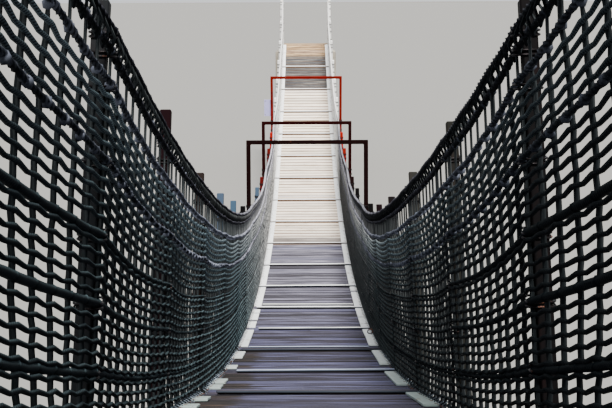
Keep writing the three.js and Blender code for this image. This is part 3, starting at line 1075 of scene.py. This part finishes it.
def add_battens(rng):
    """A raised batten across the near end of each bay, with the odd second one."""
    length = DECK_WIDTH - 0.012
    battens = planks(rng, BATTEN_KINDS, length, BATTEN_WIDTH, BATTEN_HEIGHT, 0.004, 0.0022, 8)
    shim = planks(rng, 1, length, BATTEN_WIDTH, PACKING_HEIGHT, 0.001, 0.0006, 6)
    places = Places()
    packing = Places()
    for index in range(1, BAYS):
        bay = deck_bay(index)
        distance = PANEL_GAP / 2 + BATTEN_WIDTH / 2 + rng.uniform(0.0, 0.004)
        turn = (bay.slope, rng.uniform(-0.003, 0.003), rng.uniform(-0.004, 0.004))
        cut = BATTENS_CUT_SHORT.get(index, 0.0)
        stretch = ((length - cut) / length, rng.uniform(0.85, 1.1), rng.uniform(0.8, 1.0))
        x = cut / 2 + rng.uniform(-0.003, 0.003)
        middle = bay.point(x, distance, PACKING_HEIGHT + BATTEN_HEIGHT * stretch[2])
        tone = BATTEN_TOP_HIGHLIGHTS.get(index, FAR_BATTEN_TOP_HIGHLIGHT)
        places.add(middle, turn, stretch, rng.randrange(BATTEN_KINDS), tone)
        under = (stretch[0] * 0.99, 0.75, 1.0)
        packing.add(bay.point(x, distance + 0.004, PACKING_HEIGHT), turn, under, 0, rng.random())
        if index in BAYS_WITH_SECOND_BATTEN:
            middle = bay.point(0.0, distance + SECOND_BATTEN_PAST, BATTEN_HEIGHT * 0.45)
            places.add(middle, turn, SECOND_BATTEN_SIZE, rng.randrange(BATTEN_KINDS), 0.7)
    places.set_out("cross_battens", "batten_timber", "deck_boards", battens)
    packing.set_out("batten_packing", "tarred_packing", "deck_boards", shim)


# An edge strip starts past the batten. Its share of the bay is the same all along to within a millimetre.
STRIP_START = 0.045
WHOLE = ((STRIP_START, 0.98),)
# What is left of each bay's edge strip: pairs of a start and an end, as shares of the bay from its near end.
STRIPS_LEFT = {
    "left": {
        1: ((0.1, 0.2), (0.5, 0.7)),
        2: ((0.3, 0.42), (0.66, 0.8)),
        3: ((0.22, 0.35), (0.46, 0.62)),
        4: ((0.17, 0.28), (0.65, 0.95)),
        5: ((0.2, 0.97),),
        6: ((0.1, 0.34), (0.45, 0.72), (0.79, 0.93)),
        7: ((0.1, 0.98),),
        8: WHOLE,
        9: WHOLE,
    },
    "right": {
        1: ((0.4, 0.98),),
        2: ((0.36, 0.98),),
        3: ((0.34, 0.98),),
        4: ((0.31, 0.98),),
        5: ((0.22, 0.98),),
        6: ((0.08, 0.5), (0.56, 0.97)),
        7: ((STRIP_START, 0.72), (0.8, 0.98)),
        8: WHOLE,
    },
}


def strip_segment(rng, length):
    """A flat strip with knocked corners, lying along Y from 0, its top at height 0."""
    half = (STRIP_OUTER_X - STRIP_INNER_X) / 2
    cut = rng.uniform(0.002, 0.014)
    chip = rng.uniform(0.002, 0.01)
    edge = [
        (-half + cut, 0.0), (half - chip, rng.uniform(0.0, 0.006)), (half, chip),
        (half - rng.uniform(0.0, 0.003), length * 0.5), (half, length - cut),
        (half - cut, length), (-half + chip, length - rng.uniform(0.0, 0.008)),
        (-half, length - chip * 2), (-half + rng.uniform(0.0, 0.003), length * 0.45), (-half, cut),
    ]
    arris = 0.0022
    rows = ((arris * 0.5, -STRIP_HEIGHT), (0.0, -STRIP_HEIGHT + arris), (0.0, -arris), (arris, 0.0))
    rings = []
    for inset, level in rows:
        narrower = 1 - inset / half
        shorter = 1 - inset / (length / 2)
        ring = [Vector((x * narrower, length / 2 + (y - length / 2) * shorter, level)) for x, y in edge]
        rings.append(ring)
    return lofted(rings)


def strip_spans(rng, word, index):
    """What is left of one bay's strip. Past the named bays it is whole, or in two lengths."""
    if index in STRIPS_LEFT[word]:
        return STRIPS_LEFT[word][index]
    middle = rng.uniform(0.35, 0.65)
    if rng.random() < 0.45:
        return ((STRIP_START, middle - 0.01), (middle, 0.985))
    return ((STRIP_START, 0.985),)


def add_edge_strips(rng):
    for side, word in SIDES:
        x = side * (STRIP_INNER_X + STRIP_OUTER_X) / 2
        segments = []
        tones = []
        for index in range(BAYS):
            bay = deck_bay(index)
            for start, end in strip_spans(rng, word, index):
                segment = strip_segment(rng, (end - start) * bay.length)
                turn = Matrix.Rotation(bay.slope + rng.uniform(-0.001, 0.001), 4, "X")
                turn = turn @ Matrix.Rotation(rng.uniform(-0.003, 0.003), 4, "Z")
                place = Matrix.Translation(bay.point(x, start * bay.length, STRIP_HEIGHT)) @ turn
                for vert in segment.verts:
                    vert.co = place @ vert.co
                segments.append(segment)
                tones.extend([rng.random()] * len(segment.verts))
        mesh = mesh_of(f"edge_strips_{word}", joined(segments))
        add_numbers(mesh, "tone", tones)
        mesh.materials.append(bpy.data.materials["edge_strip_paint"])
        finished(show(f"edge_strips_{word}", mesh))


RING_BAY = 5
RING_X = 0.612
RING_SHARE = 0.72
RING_CENTRE_HEIGHT = 0.026
# How far the ring reaches across, along and up from its centre, and how thick it is.
RING_REACH = (0.027, 0.008, 0.023)
RING_RADIUS = 0.0055
RING_STEPS = 16


def add_strip_ring():
    """A steel ring left standing on the right edge strip, part of the way along the bridge."""
    bay = deck_bay(RING_BAY)
    centre = bay.point(RING_X, bay.length * RING_SHARE, STRIP_HEIGHT + RING_CENTRE_HEIGHT)
    across, along, up = RING_REACH
    points = []
    for order in range(RING_STEPS + 1):
        turn = 2 * math.pi * order / RING_STEPS
        points.append(centre + Vector((across * math.cos(turn), along * math.cos(turn), up * math.sin(turn))))
    ring = Runs()
    ring.add(points, RING_RADIUS)
    ring.lay("strip_ring", "weld_metal", "steel_rope", 8)


# The ropes that run from end to end: their height and radius, how deep they hang in a bay, how far inside the
# posts they lie, how much they swell at each tie, how far above their height they lie and how pale they are.
MAIN_ROPES = {
    "handrail_rope_{}_laid": (HANDRAIL_HEIGHT, 0.0155, 0.01, 0.0175, 0.1, 0.001, 0.0),
    "companion_rope_{}": (COMPANION_HEIGHT, 0.0135, 0.012, 0.0155, 0.15, 0.0, 0.0),
    "net_head_rope_{}": (NET_TOP, 0.0122, 0.018, 0.0195, 0.2, 0.0045, 0.2),
    "net_middle_rope_{}": (THIRD_ROPE_HEIGHT, 0.0115, 0.02, 0.0185, 0.2, 0.004, 0.0),
}


# How uneven a main rope hangs, how much of the net's bulge it follows and how much paler it is at a tie.
ROPE_UNEVEN = 0.003
ROPE_BULGE_SHARE = 0.5
ROPE_PALER_AT_TIE = 3.0


def rope_stations():
    """Stations a short step apart, from a rope's tail at the near end frame to its tail at the far one."""
    length = BAYS * BAY + 2 * LANDING
    count = round(length / ROPE_STEP)
    for order in range(count + 1):
        along = -LANDING - ROPE_TAIL + (length + 2 * ROPE_TAIL) * order / count
        if along < 0:
            yield along / LANDING
        elif along > BAYS * BAY:
            yield BAYS + (along - BAYS * BAY) / LANDING
        else:
            yield along / BAY


def add_main_ropes(side, word):
    rng = random.Random(23 + side)
    for name, (height, radius, depth, inset, swell, rise, pale) in MAIN_ROPES.items():
        points = []
        radii = []
        tones = []
        for station in rope_stations():
            tied = (math.cos(2 * math.pi * TIES_PER_BAY * station) * 0.5 + 0.5) ** 2
            radii.append(radius * (1.0 + swell * tied))
            tones.append(min(pale + tied * swell * ROPE_PALER_AT_TIE * rng.uniform(0.5, 1.2), 1.0))
            uneven = ROPE_UNEVEN * math.sin(station * 17.0 + height * 9.0)
            point = hung(side, station, height, inset, depth, uneven + rise)
            point.x += side * bulge(on_bridge(station), height) * ROPE_BULGE_SHARE
            points.append(point)
        rope = Runs()
        rope.add(points, radii, ROPE_LAY * radius, tones)
        nodes = [f"handrail_rope_{word}"] if height == HANDRAIL_HEIGHT else ()
        top = height > NET_TOP
        finish = "dark_laid_rope" if top else "pale_laid_rope"
        rope.lay(name.format(word), finish, "handrail_rope" if top else "side_rope", 6, 0.3, nodes)


def lower_radius(station):
    """The lower ropes are heavy at the near end and no thicker than the net's cords past the second joint."""
    heavy, light = LOWER_ROPE_RADII
    share = min(max((LOWER_ROPE_TAPERS_TO - station) / 1.5, 0.0), 1.0)
    return light + (heavy - light) * share


def weave(row, tie):
    """How far a cord and a tie stand off the net's middle where they cross, each in front by turns."""
    return NET_IN_FRONT + (NET_WEAVE if (row + tie) % 2 else -NET_WEAVE)


def any_turn(rng):
    return (rng.random(), rng.random(), rng.random())


def stations_between(first, last, per_bay):
    return [first + order / per_bay for order in range((last - first) * per_bay + 1)]


# Where a tie passes the head rope and the two top ropes: their height, how far inside the posts they lie
# and how deep they hang.
TIE_TOPS = ((NET_TOP, 0.013, 0.018), (COMPANION_HEIGHT, 0.012, 0.012), (HANDRAIL_HEIGHT, 0.012, 0.01))
# The knots on the head rope and the companion rope: their size, how pale they are and how much paler at most.
TOP_KNOTS = {
    NET_TOP: ((0.0155, 0.0185, 0.018), 0.5, 0.5),
    COMPANION_HEIGHT: ((0.0145, 0.015, 0.0165), 0.0, 0.3),
}
THIRD_ROPE_KNOT = (0.015, 0.018, 0.0175)


class NetPanel:
    """One panel of knotted net between its main ropes, tied down to the deck's edge."""

    def __init__(self, side, word, panel):
        self.rng = random.Random(100 + panel * 2 + side)
        self.side = side
        self.name = f"{word}_{panel + 1}"
        self.joints = ROPE_PANEL_JOINTS[panel:panel + 2]
        self.cord_stations = stations_between(*self.joints, 2 * TIES_PER_BAY)
        self.top_tie_radius = TOP_TIE_RADII[panel]
        self.shakes = {}
        self.rows = []
        for row in range(1, NET_ROWS + 1):
            height = EDGE_ROPE_HEIGHT + row * (NET_TOP - EDGE_ROPE_HEIGHT) / (NET_ROWS + 1)
            clear = min(abs(height - rope) for rope in (*LOWER_ROPE_HEIGHTS, THIRD_ROPE_HEIGHT))
            if clear > ROW_CLEARS_ROPE_BY:
                self.rows.append(height)
        self.add_cords()
        self.add_ropes()
        self.add_ties()

    def crossing(self, station, row, height, order):
        """A point of the net, shaken a little, alike for the cord and the tie that meet there."""
        depth = NET_HANG + NET_HANG_MORE * min(height / NET_TOP, 1.0)
        point = hung(self.side, station, height, ROPE_FACE, depth)
        if (row, order) not in self.shakes:
            self.shakes[row, order] = [self.rng.uniform(-reach, reach) for reach in NET_SHAKES]
        across, along, up = self.shakes[row, order]
        point.x += self.side * bulge(station, height) + across
        point.y += along
        point.z += up
        return point

    def line(self, row, height):
        stations = enumerate(self.cord_stations)
        return [self.crossing(station, row, height, order) for order, station in stations]

    def add_cords(self):
        """The cords along the bridge, a little thicker and higher where a tie is knotted round them."""
        cords = Runs()
        for row, height in enumerate(self.rows):
            radius = NET_CORD_RADIUS * self.rng.uniform(0.92, 1.06)
            points = self.line(row, height)
            radii = []
            for order, point in enumerate(points):
                tied = order % 2 == 0
                point.x -= self.side * (weave(row, order // 2) if tied else NET_IN_FRONT)
                point.z += CORD_LIFT if tied else -CORD_DROP
                radii.append(radius * (NET_CORD_SWELL if tied else 1.0))
            tone = NET_TONE_RISE * (height / NET_TOP) ** 4 * self.rng.uniform(0.75, 1.25)
            cords.add(points, radii, tone=tone)
        cords.lay(f"net_cords_{self.name}", "net_cord", "side_rope", 5, 0.0, [f"side_ropes_{self.name}"])

    def add_ropes(self):
        """The three lower main ropes and the one along the deck's edge."""
        ropes = Runs()
        radii = [lower_radius(station) for station in self.cord_stations]
        for height in LOWER_ROPE_HEIGHTS:
            ropes.add(self.line(-height, height), radii, tone=0.05)
        ropes.add(self.line(-EDGE_ROPE_HEIGHT, EDGE_ROPE_HEIGHT), EDGE_ROPE_RADIUS, tone=0.1)
        ropes.lay(f"net_ropes_{self.name}", "net_cord", "side_rope", 6)

    def add_ties(self):
        """The upright ties from the deck's edge to the handrail, with a knot at each rope on the way."""
        ties = Runs()
        knots = Places()
        low_knots = Places()
        rng = self.rng
        for order, station in enumerate(stations_between(*self.joints, TIES_PER_BAY)):
            lean = rng.uniform(-TIE_LEAN, TIE_LEAN)
            foot = Vector((-self.side * 0.012, 0.0, -0.02))
            points = [net_point(self.side, station, 0.0, TIE_FOOT_INSET) + foot]
            for row, height in enumerate(self.rows):
                point = self.crossing(station, row, height, order * 2)
                point.x += self.side * weave(row, order)
                points.append(point)
            for height, inset, depth in TIE_TOPS:
                point = hung(self.side, station, height, inset, depth)
                point.y += lean * (height / HANDRAIL_HEIGHT)
                points.append(point)
                if height in TOP_KNOTS:
                    size, paleness, more = TOP_KNOTS[height]
                    paleness += more * rng.random()
                    knots.add(point + Vector((0.0, 0.0, 0.004)), any_turn(rng), size, 0, paleness)
            point = hung(self.side, station, THIRD_ROPE_HEIGHT, 0.012, 0.02)
            knots.add(point, any_turn(rng), THIRD_ROPE_KNOT, 0, 0.05 + 0.5 * rng.random())
            for height in LOWER_ROPE_HEIGHTS:
                point = self.crossing(station, -height, height, order * 2)
                low_knots.add(point, any_turn(rng), (LOW_KNOT_TIMES * lower_radius(station),) * 3)
            top = self.top_tie_radius * (THICK_TIE_TIMES if rng.random() < THICK_TIE_SHARE else 1.0)
            own = rng.random()
            palest = NET_TONE_RISE * (0.3 + 0.7 * own)
            tones = [0.0] + [palest * (height / NET_TOP) ** 3 for height in self.rows] + [0.5 + 0.4 * own] * 3
            ties.add(points, [NET_TIE_RADIUS] * (len(self.rows) + 1) + [top] * 3, tone=tones)
        ties.lay(f"net_ties_{self.name}", "dark_cord", "side_rope", 5)
        knots.set_out(f"net_knots_{self.name}", "pale_cord", "side_rope", [KNOT])
        low_knots.set_out(f"lower_net_knots_{self.name}", "net_cord", "side_rope", [KNOT])


LACING_X = 0.618
LACING_RADIUS = 0.0034
# The share of the lacing's holes that have an eye.
EYES_LEFT = 0.8
EYE_HEIGHT = 0.0152


def add_edge_lacing(side, word):
    """A light cord laced through eyes in the edge strip and round the net's foot rope."""
    rng = random.Random(61 + side)
    edge = Runs()
    eyes = Places()
    for index in range(BAYS):
        bay = deck_bay(index)
        half = bay.length / LACINGS_PER_BAY / 2
        loop = (
            (LACING_X, 0.0, -0.046), (LACING_X, 0.0, 0.002), (0.624, 0.004, 0.02), (0.64, 0.3 * half, 0.026),
            (0.658, 0.55 * half, 0.036), (0.6615, 0.8 * half, 0.018), (0.654, half, -0.01),
            (0.645, 1.3 * half, -0.044), (0.63, 1.7 * half, -0.05),
        )
        points = []
        tones = []
        for order in range(1, LACINGS_PER_BAY):
            distance = bay.length * order / LACINGS_PER_BAY + rng.uniform(-0.01, 0.01)
            points.extend(bay.point(side * x, distance + along, height) for x, along, height in loop)
            tones.extend([0.8 * rng.random() ** 3] * len(loop))
            if rng.random() < EYES_LEFT:
                eyes.add(bay.point(side * LACING_X, distance, EYE_HEIGHT), (bay.slope, 0.0, 0.0))
        edge.add(points, LACING_RADIUS, tone=tones)
    edge.lay(f"edge_lacing_{word}", "lacing_cord", "side_rope", 4)
    eyes.set_out(f"lacing_eyes_{word}", "rusty_steel", "steel_rope", [EYE])


BAND_CORD_RADIUS = 0.005
BAND_HANG = 0.011


def add_band_lacing(side, word):
    """The cord that binds the two top ropes, four points to a turn."""
    turn = (
        (HANDRAIL_HEIGHT + 0.013, 0.0155), (HANDRAIL_HEIGHT - 0.035, 0.034),
        (COMPANION_HEIGHT - 0.012, 0.014), (HANDRAIL_HEIGHT - 0.035, -0.004),
    )
    band = Runs()
    for first, last in ((-1, 10), (10, BAYS + 1)):
        points = []
        for order, station in enumerate(stations_between(first, last, 2 * TIES_PER_BAY * len(turn))):
            height, inset = turn[order % len(turn)]
            points.append(net_point(side, station, height, inset, sag(station, BAND_HANG)))
        band.add(points, BAND_CORD_RADIUS, tone=0.05)
    band.lay(f"top_band_lacing_{word}", "dark_cord", "side_rope", 4)


# Thin wire round a post: its radius, how far it stands off the post and how far it climbs in its two turns.
TIE_WIRE_RADIUS = 0.004
TIE_WIRE_OFF = 0.005
TIE_WIRE_CLIMB = 0.028
# How far inside the post's face the wire passes round the rope.
TIE_WIRE_REACH = 0.027


def post_tie(side, index, height, runs):
    """Two turns of thin wire round a post and the rope beside it."""
    width = END_POST if index in (-1, BAYS + 1) else TUBE
    half = width / 2 + TIE_WIRE_OFF
    inner = post_inner_x(index, height, side) - TIE_WIRE_REACH
    outer = post_inner_x(index, height, side) + width + TIE_WIRE_OFF
    back = [(inner + 0.006, 0.018), (inner + 0.026, half), (outer - 0.008, half), (outer, half - 0.008)]
    corners = [(inner, 0.0)] + [(x, -y) for x, y in back] + back[::-1]
    count = len(corners) * 2
    points = []
    for order in range(count + 1):
        x, y = corners[order % len(corners)]
        rise = (order / count - 0.5) * TIE_WIRE_CLIMB
        points.append(beside(index, side * x, height + rise) + Vector((0.0, y, 0.0)))
    runs.add(points, TIE_WIRE_RADIUS)


def add_post_ties(side, word):
    runs = Runs()
    for index in range(-1, BAYS + 2):
        for height in (HANDRAIL_HEIGHT, COMPANION_HEIGHT, NET_TOP, *LOWER_ROPE_HEIGHTS, THIRD_ROPE_HEIGHT):
            post_tie(side, index, height + hitched(index, height), runs)
    runs.lay(f"post_ties_{word}", "tie_wire", "steel_rope", 4)


def carried_on(point, before, face):
    """Where the line to a point, carried on past it, meets the upright face of an abutment."""
    way = point - before
    return point + way * ((face - point.y) / way.y)


def add_deck_cables():
    """Wire ropes of six strands under the cross beams, held to each by a U-bolt."""
    drop = BEARER_BOTTOM + BEAM_CLEARANCE + BEAM_HEIGHT + DECK_CABLE_RADIUS + 0.00085
    stand_off = 0.06 + DECK_CABLE_RADIUS / 2
    bolts = Runs()
    nuts = Places()
    for side, word in SIDES:
        middle = side * DECK_CABLE_X
        corners = [beside(index, middle, -drop) for index in range(1, BAYS)]
        corners.insert(0, carried_on(corners[0], corners[1], joint(0)[0] + stand_off))
        corners.append(carried_on(corners[-1], corners[-2], joint(BAYS)[0] - stand_off))
        points = []
        for start, end in zip(corners, corners[1:]):
            count = max(1, round((end - start).length / DECK_CABLE_STEP))
            points.extend(start.lerp(end, order / count) for order in range(count))
        points.append(corners[-1])
        cable = Runs()
        cable.add(points, DECK_CABLE_RADIUS, DECK_CABLE_LAY)
        cable.lay(f"deck_cable_{word}_laid", "wire_rope", "steel_rope", 12, 0.16, [f"deck_cable_{word}"])
        for index in range(1, BAYS):
            bend = [(U_BOLT_REACH, 0.012 - BEARER_BOTTOM)]
            for step in range(U_BOLT_STEPS + 1):
                angle = math.pi * step / U_BOLT_STEPS
                bend.append((U_BOLT_REACH * math.cos(angle), -drop - U_BOLT_REACH * math.sin(angle)))
            bend.append((-U_BOLT_REACH, 0.012 - BEARER_BOTTOM))
            bolts.add([beside(index, middle + x, height) for x, height in bend], U_BOLT_RADIUS)
            turn = (joint(index)[2], 0.0, 0.0)
            for x in (-U_BOLT_REACH, U_BOLT_REACH):
                nuts.add(beside(index, middle + x, -BEARER_BOTTOM), turn, NUT_SIZE)
    bolts.lay("cable_u_bolts", "rusty_steel", "steel_rope", 8)
    nuts.set_out("cable_nuts", "rusty_steel", "steel_rope", [BOLT])


BROWN_BLACK = (20, 17, 18)
MAROON = (18, 5, 8)
BLACK = (10, 9, 10)
DARK_MAROON = (15, 4, 4)
DARK_RED = (28, 4, 4)
RED = (100, 13, 6)
BRIGHT_RED = (146, 18, 6)
WHITE = (252, 252, 250)
# The paint of each joint's frame: its left post, its right post and how far it is worn. The rest are white.
FRAME_PAINTS = {
    -1: (MAROON, BROWN_BLACK, 0.5),
    0: (MAROON, BROWN_BLACK, 0.5),
    1: ((24, 26, 28), BLACK, 0.2),
    2: (MAROON, (26, 26, 24), 0.2),
    3: ((32, 26, 24), (36, 36, 34), 0.3),
    4: ((57, 70, 87), BROWN_BLACK, 0.3),
    5: ((53, 73, 91), (20, 9, 12), 0.3),
    6: (BLACK, BLACK, 0.3),
    7: (DARK_MAROON, DARK_MAROON, 0.2),
    8: ((61, 78, 96), BLACK, 0.3),
    9: ((74, 14, 12), (24, 9, 9), 0.3),
    10: (DARK_RED, DARK_RED, 0.2),
    11: ((92, 20, 14), (120, 24, 14), 0.3),
    12: (BRIGHT_RED, BRIGHT_RED, 0.3),
    13: (RED, RED, 0.1),
}


def frame_name(index):
    if index in PORTAL_JOINTS:
        return f"portal_frame_{PORTAL_JOINTS.index(index) + 1}"
    return {-1: "near_end_frame", BAYS + 1: "far_end_frame"}.get(index, f"cross_frame_{index + 1:02d}")


TUBE_CORNER = 0.006
CONCRETE_CHAMFER = 0.02
PLATE_CORNER = 0.0015
MERGE_WITHIN = 0.0001
SHARP_FROM = math.radians(30)


def dress(name, finish, width, segments, even=True):
    """Gives a part that keeps its own shape its finish and rounds its corners."""
    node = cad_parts[name]
    node.data.materials.clear()
    node.data.materials.append(finish)
    node.modifiers.new("weld", "WELD").merge_threshold = MERGE_WITHIN
    bevel = node.modifiers.new("round", "BEVEL")
    bevel.width = width
    bevel.segments = segments
    bevel.limit_method = "ANGLE"
    bevel.angle_limit = SHARP_FROM
    if even:
        node.modifiers.new("even", "WEIGHTED_NORMAL")


def add_frames():
    beads = Runs()
    white = paint_finish("frame_paint_white", WHITE, WHITE, 0.2)
    for index in range(-1, BAYS + 2):
        paint = white
        if index in FRAME_PAINTS:
            paint = paint_finish(f"frame_paint_{index + 1:02d}", *FRAME_PAINTS[index])
        dress(frame_name(index), paint, TUBE_CORNER, 3)
        if 0 <= index <= BAYS:
            add_welds(index, beads)
    beads.lay("frame_weld_beads", "weld_metal", "black_paint", 6)


# A weld bead: its radius, how far it lies off the corner and how far short of the tube's edge it ends.
BEAD_RADIUS = 0.0045
BEAD_OFF = 0.0015
BEAD_END = 0.004
BEAD_STEPS = 8


def add_welds(index, beads):
    """A bead along each inner corner where a post meets a beam."""
    top = beam_top(index)
    half = TUBE / 2 - BEAD_END
    for side, _ in SIDES:
        corners = [(post_inner_x(index, top, side), top + BEAD_OFF)]
        if index in PORTAL_JOINTS:
            height = PORTAL_HEIGHTS[PORTAL_JOINTS.index(index)]
            corners.append((FRAME_HALF_WIDTH - TUBE / 2, height - TUBE - BEAD_OFF))
        for x, height in corners:
            corner = beside(index, side * (x - BEAD_OFF), height)
            shares = [step / BEAD_STEPS - 0.5 for step in range(BEAD_STEPS + 1)]
            beads.add([corner + Vector((0.0, 2 * half * share, 0.0)) for share in shares], BEAD_RADIUS)


def add_abutments():
    concrete = concrete_finish()
    for _, word in ENDS:
        dress(f"{word}_abutment", concrete, CONCRETE_CHAMFER, 1)


SCREW_SIZE = (0.45, 0.45, 0.4)
SCREW_IN_FROM_SIDE = 0.02
SCREW_IN_FROM_TOP = 0.03


def add_notice_plate():
    """The bare plate, with a screw in each corner."""
    dress("notice_plate", plate_finish(), PLATE_CORNER, 2, even=False)
    low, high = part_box("notice_plate")
    screws = Places()
    for x in (low.x + SCREW_IN_FROM_SIDE, high.x - SCREW_IN_FROM_SIDE):
        for z in (low.z + SCREW_IN_FROM_TOP, high.z - SCREW_IN_FROM_TOP):
            screws.add(Vector((x, low.y + 0.001, z)), (math.pi / 2, 0.0, 0.0), SCREW_SIZE)
    screws.set_out("notice_plate_screws", "rusty_steel", "notice_plate", [BOLT])


def add_sides():
    for side, word in SIDES:
        add_main_ropes(side, word)
        for panel in range(len(ROPE_PANEL_JOINTS) - 1):
            NetPanel(side, word, panel)
        add_edge_lacing(side, word)
        add_band_lacing(side, word)
        add_post_ties(side, word)


make_finishes()
KNOT = template("tie_knot", knot_shape())
BOLT = template("bolt_head", bolt_head_shape())
EYE = template("lacing_eye", eye_shape())

add_stage()
add_deck()
add_sides()
add_strip_ring()
add_deck_cables()
add_frames()
add_abutments()
add_notice_plate()

for piece in TEMPLATES:
    bpy.data.objects.remove(piece)
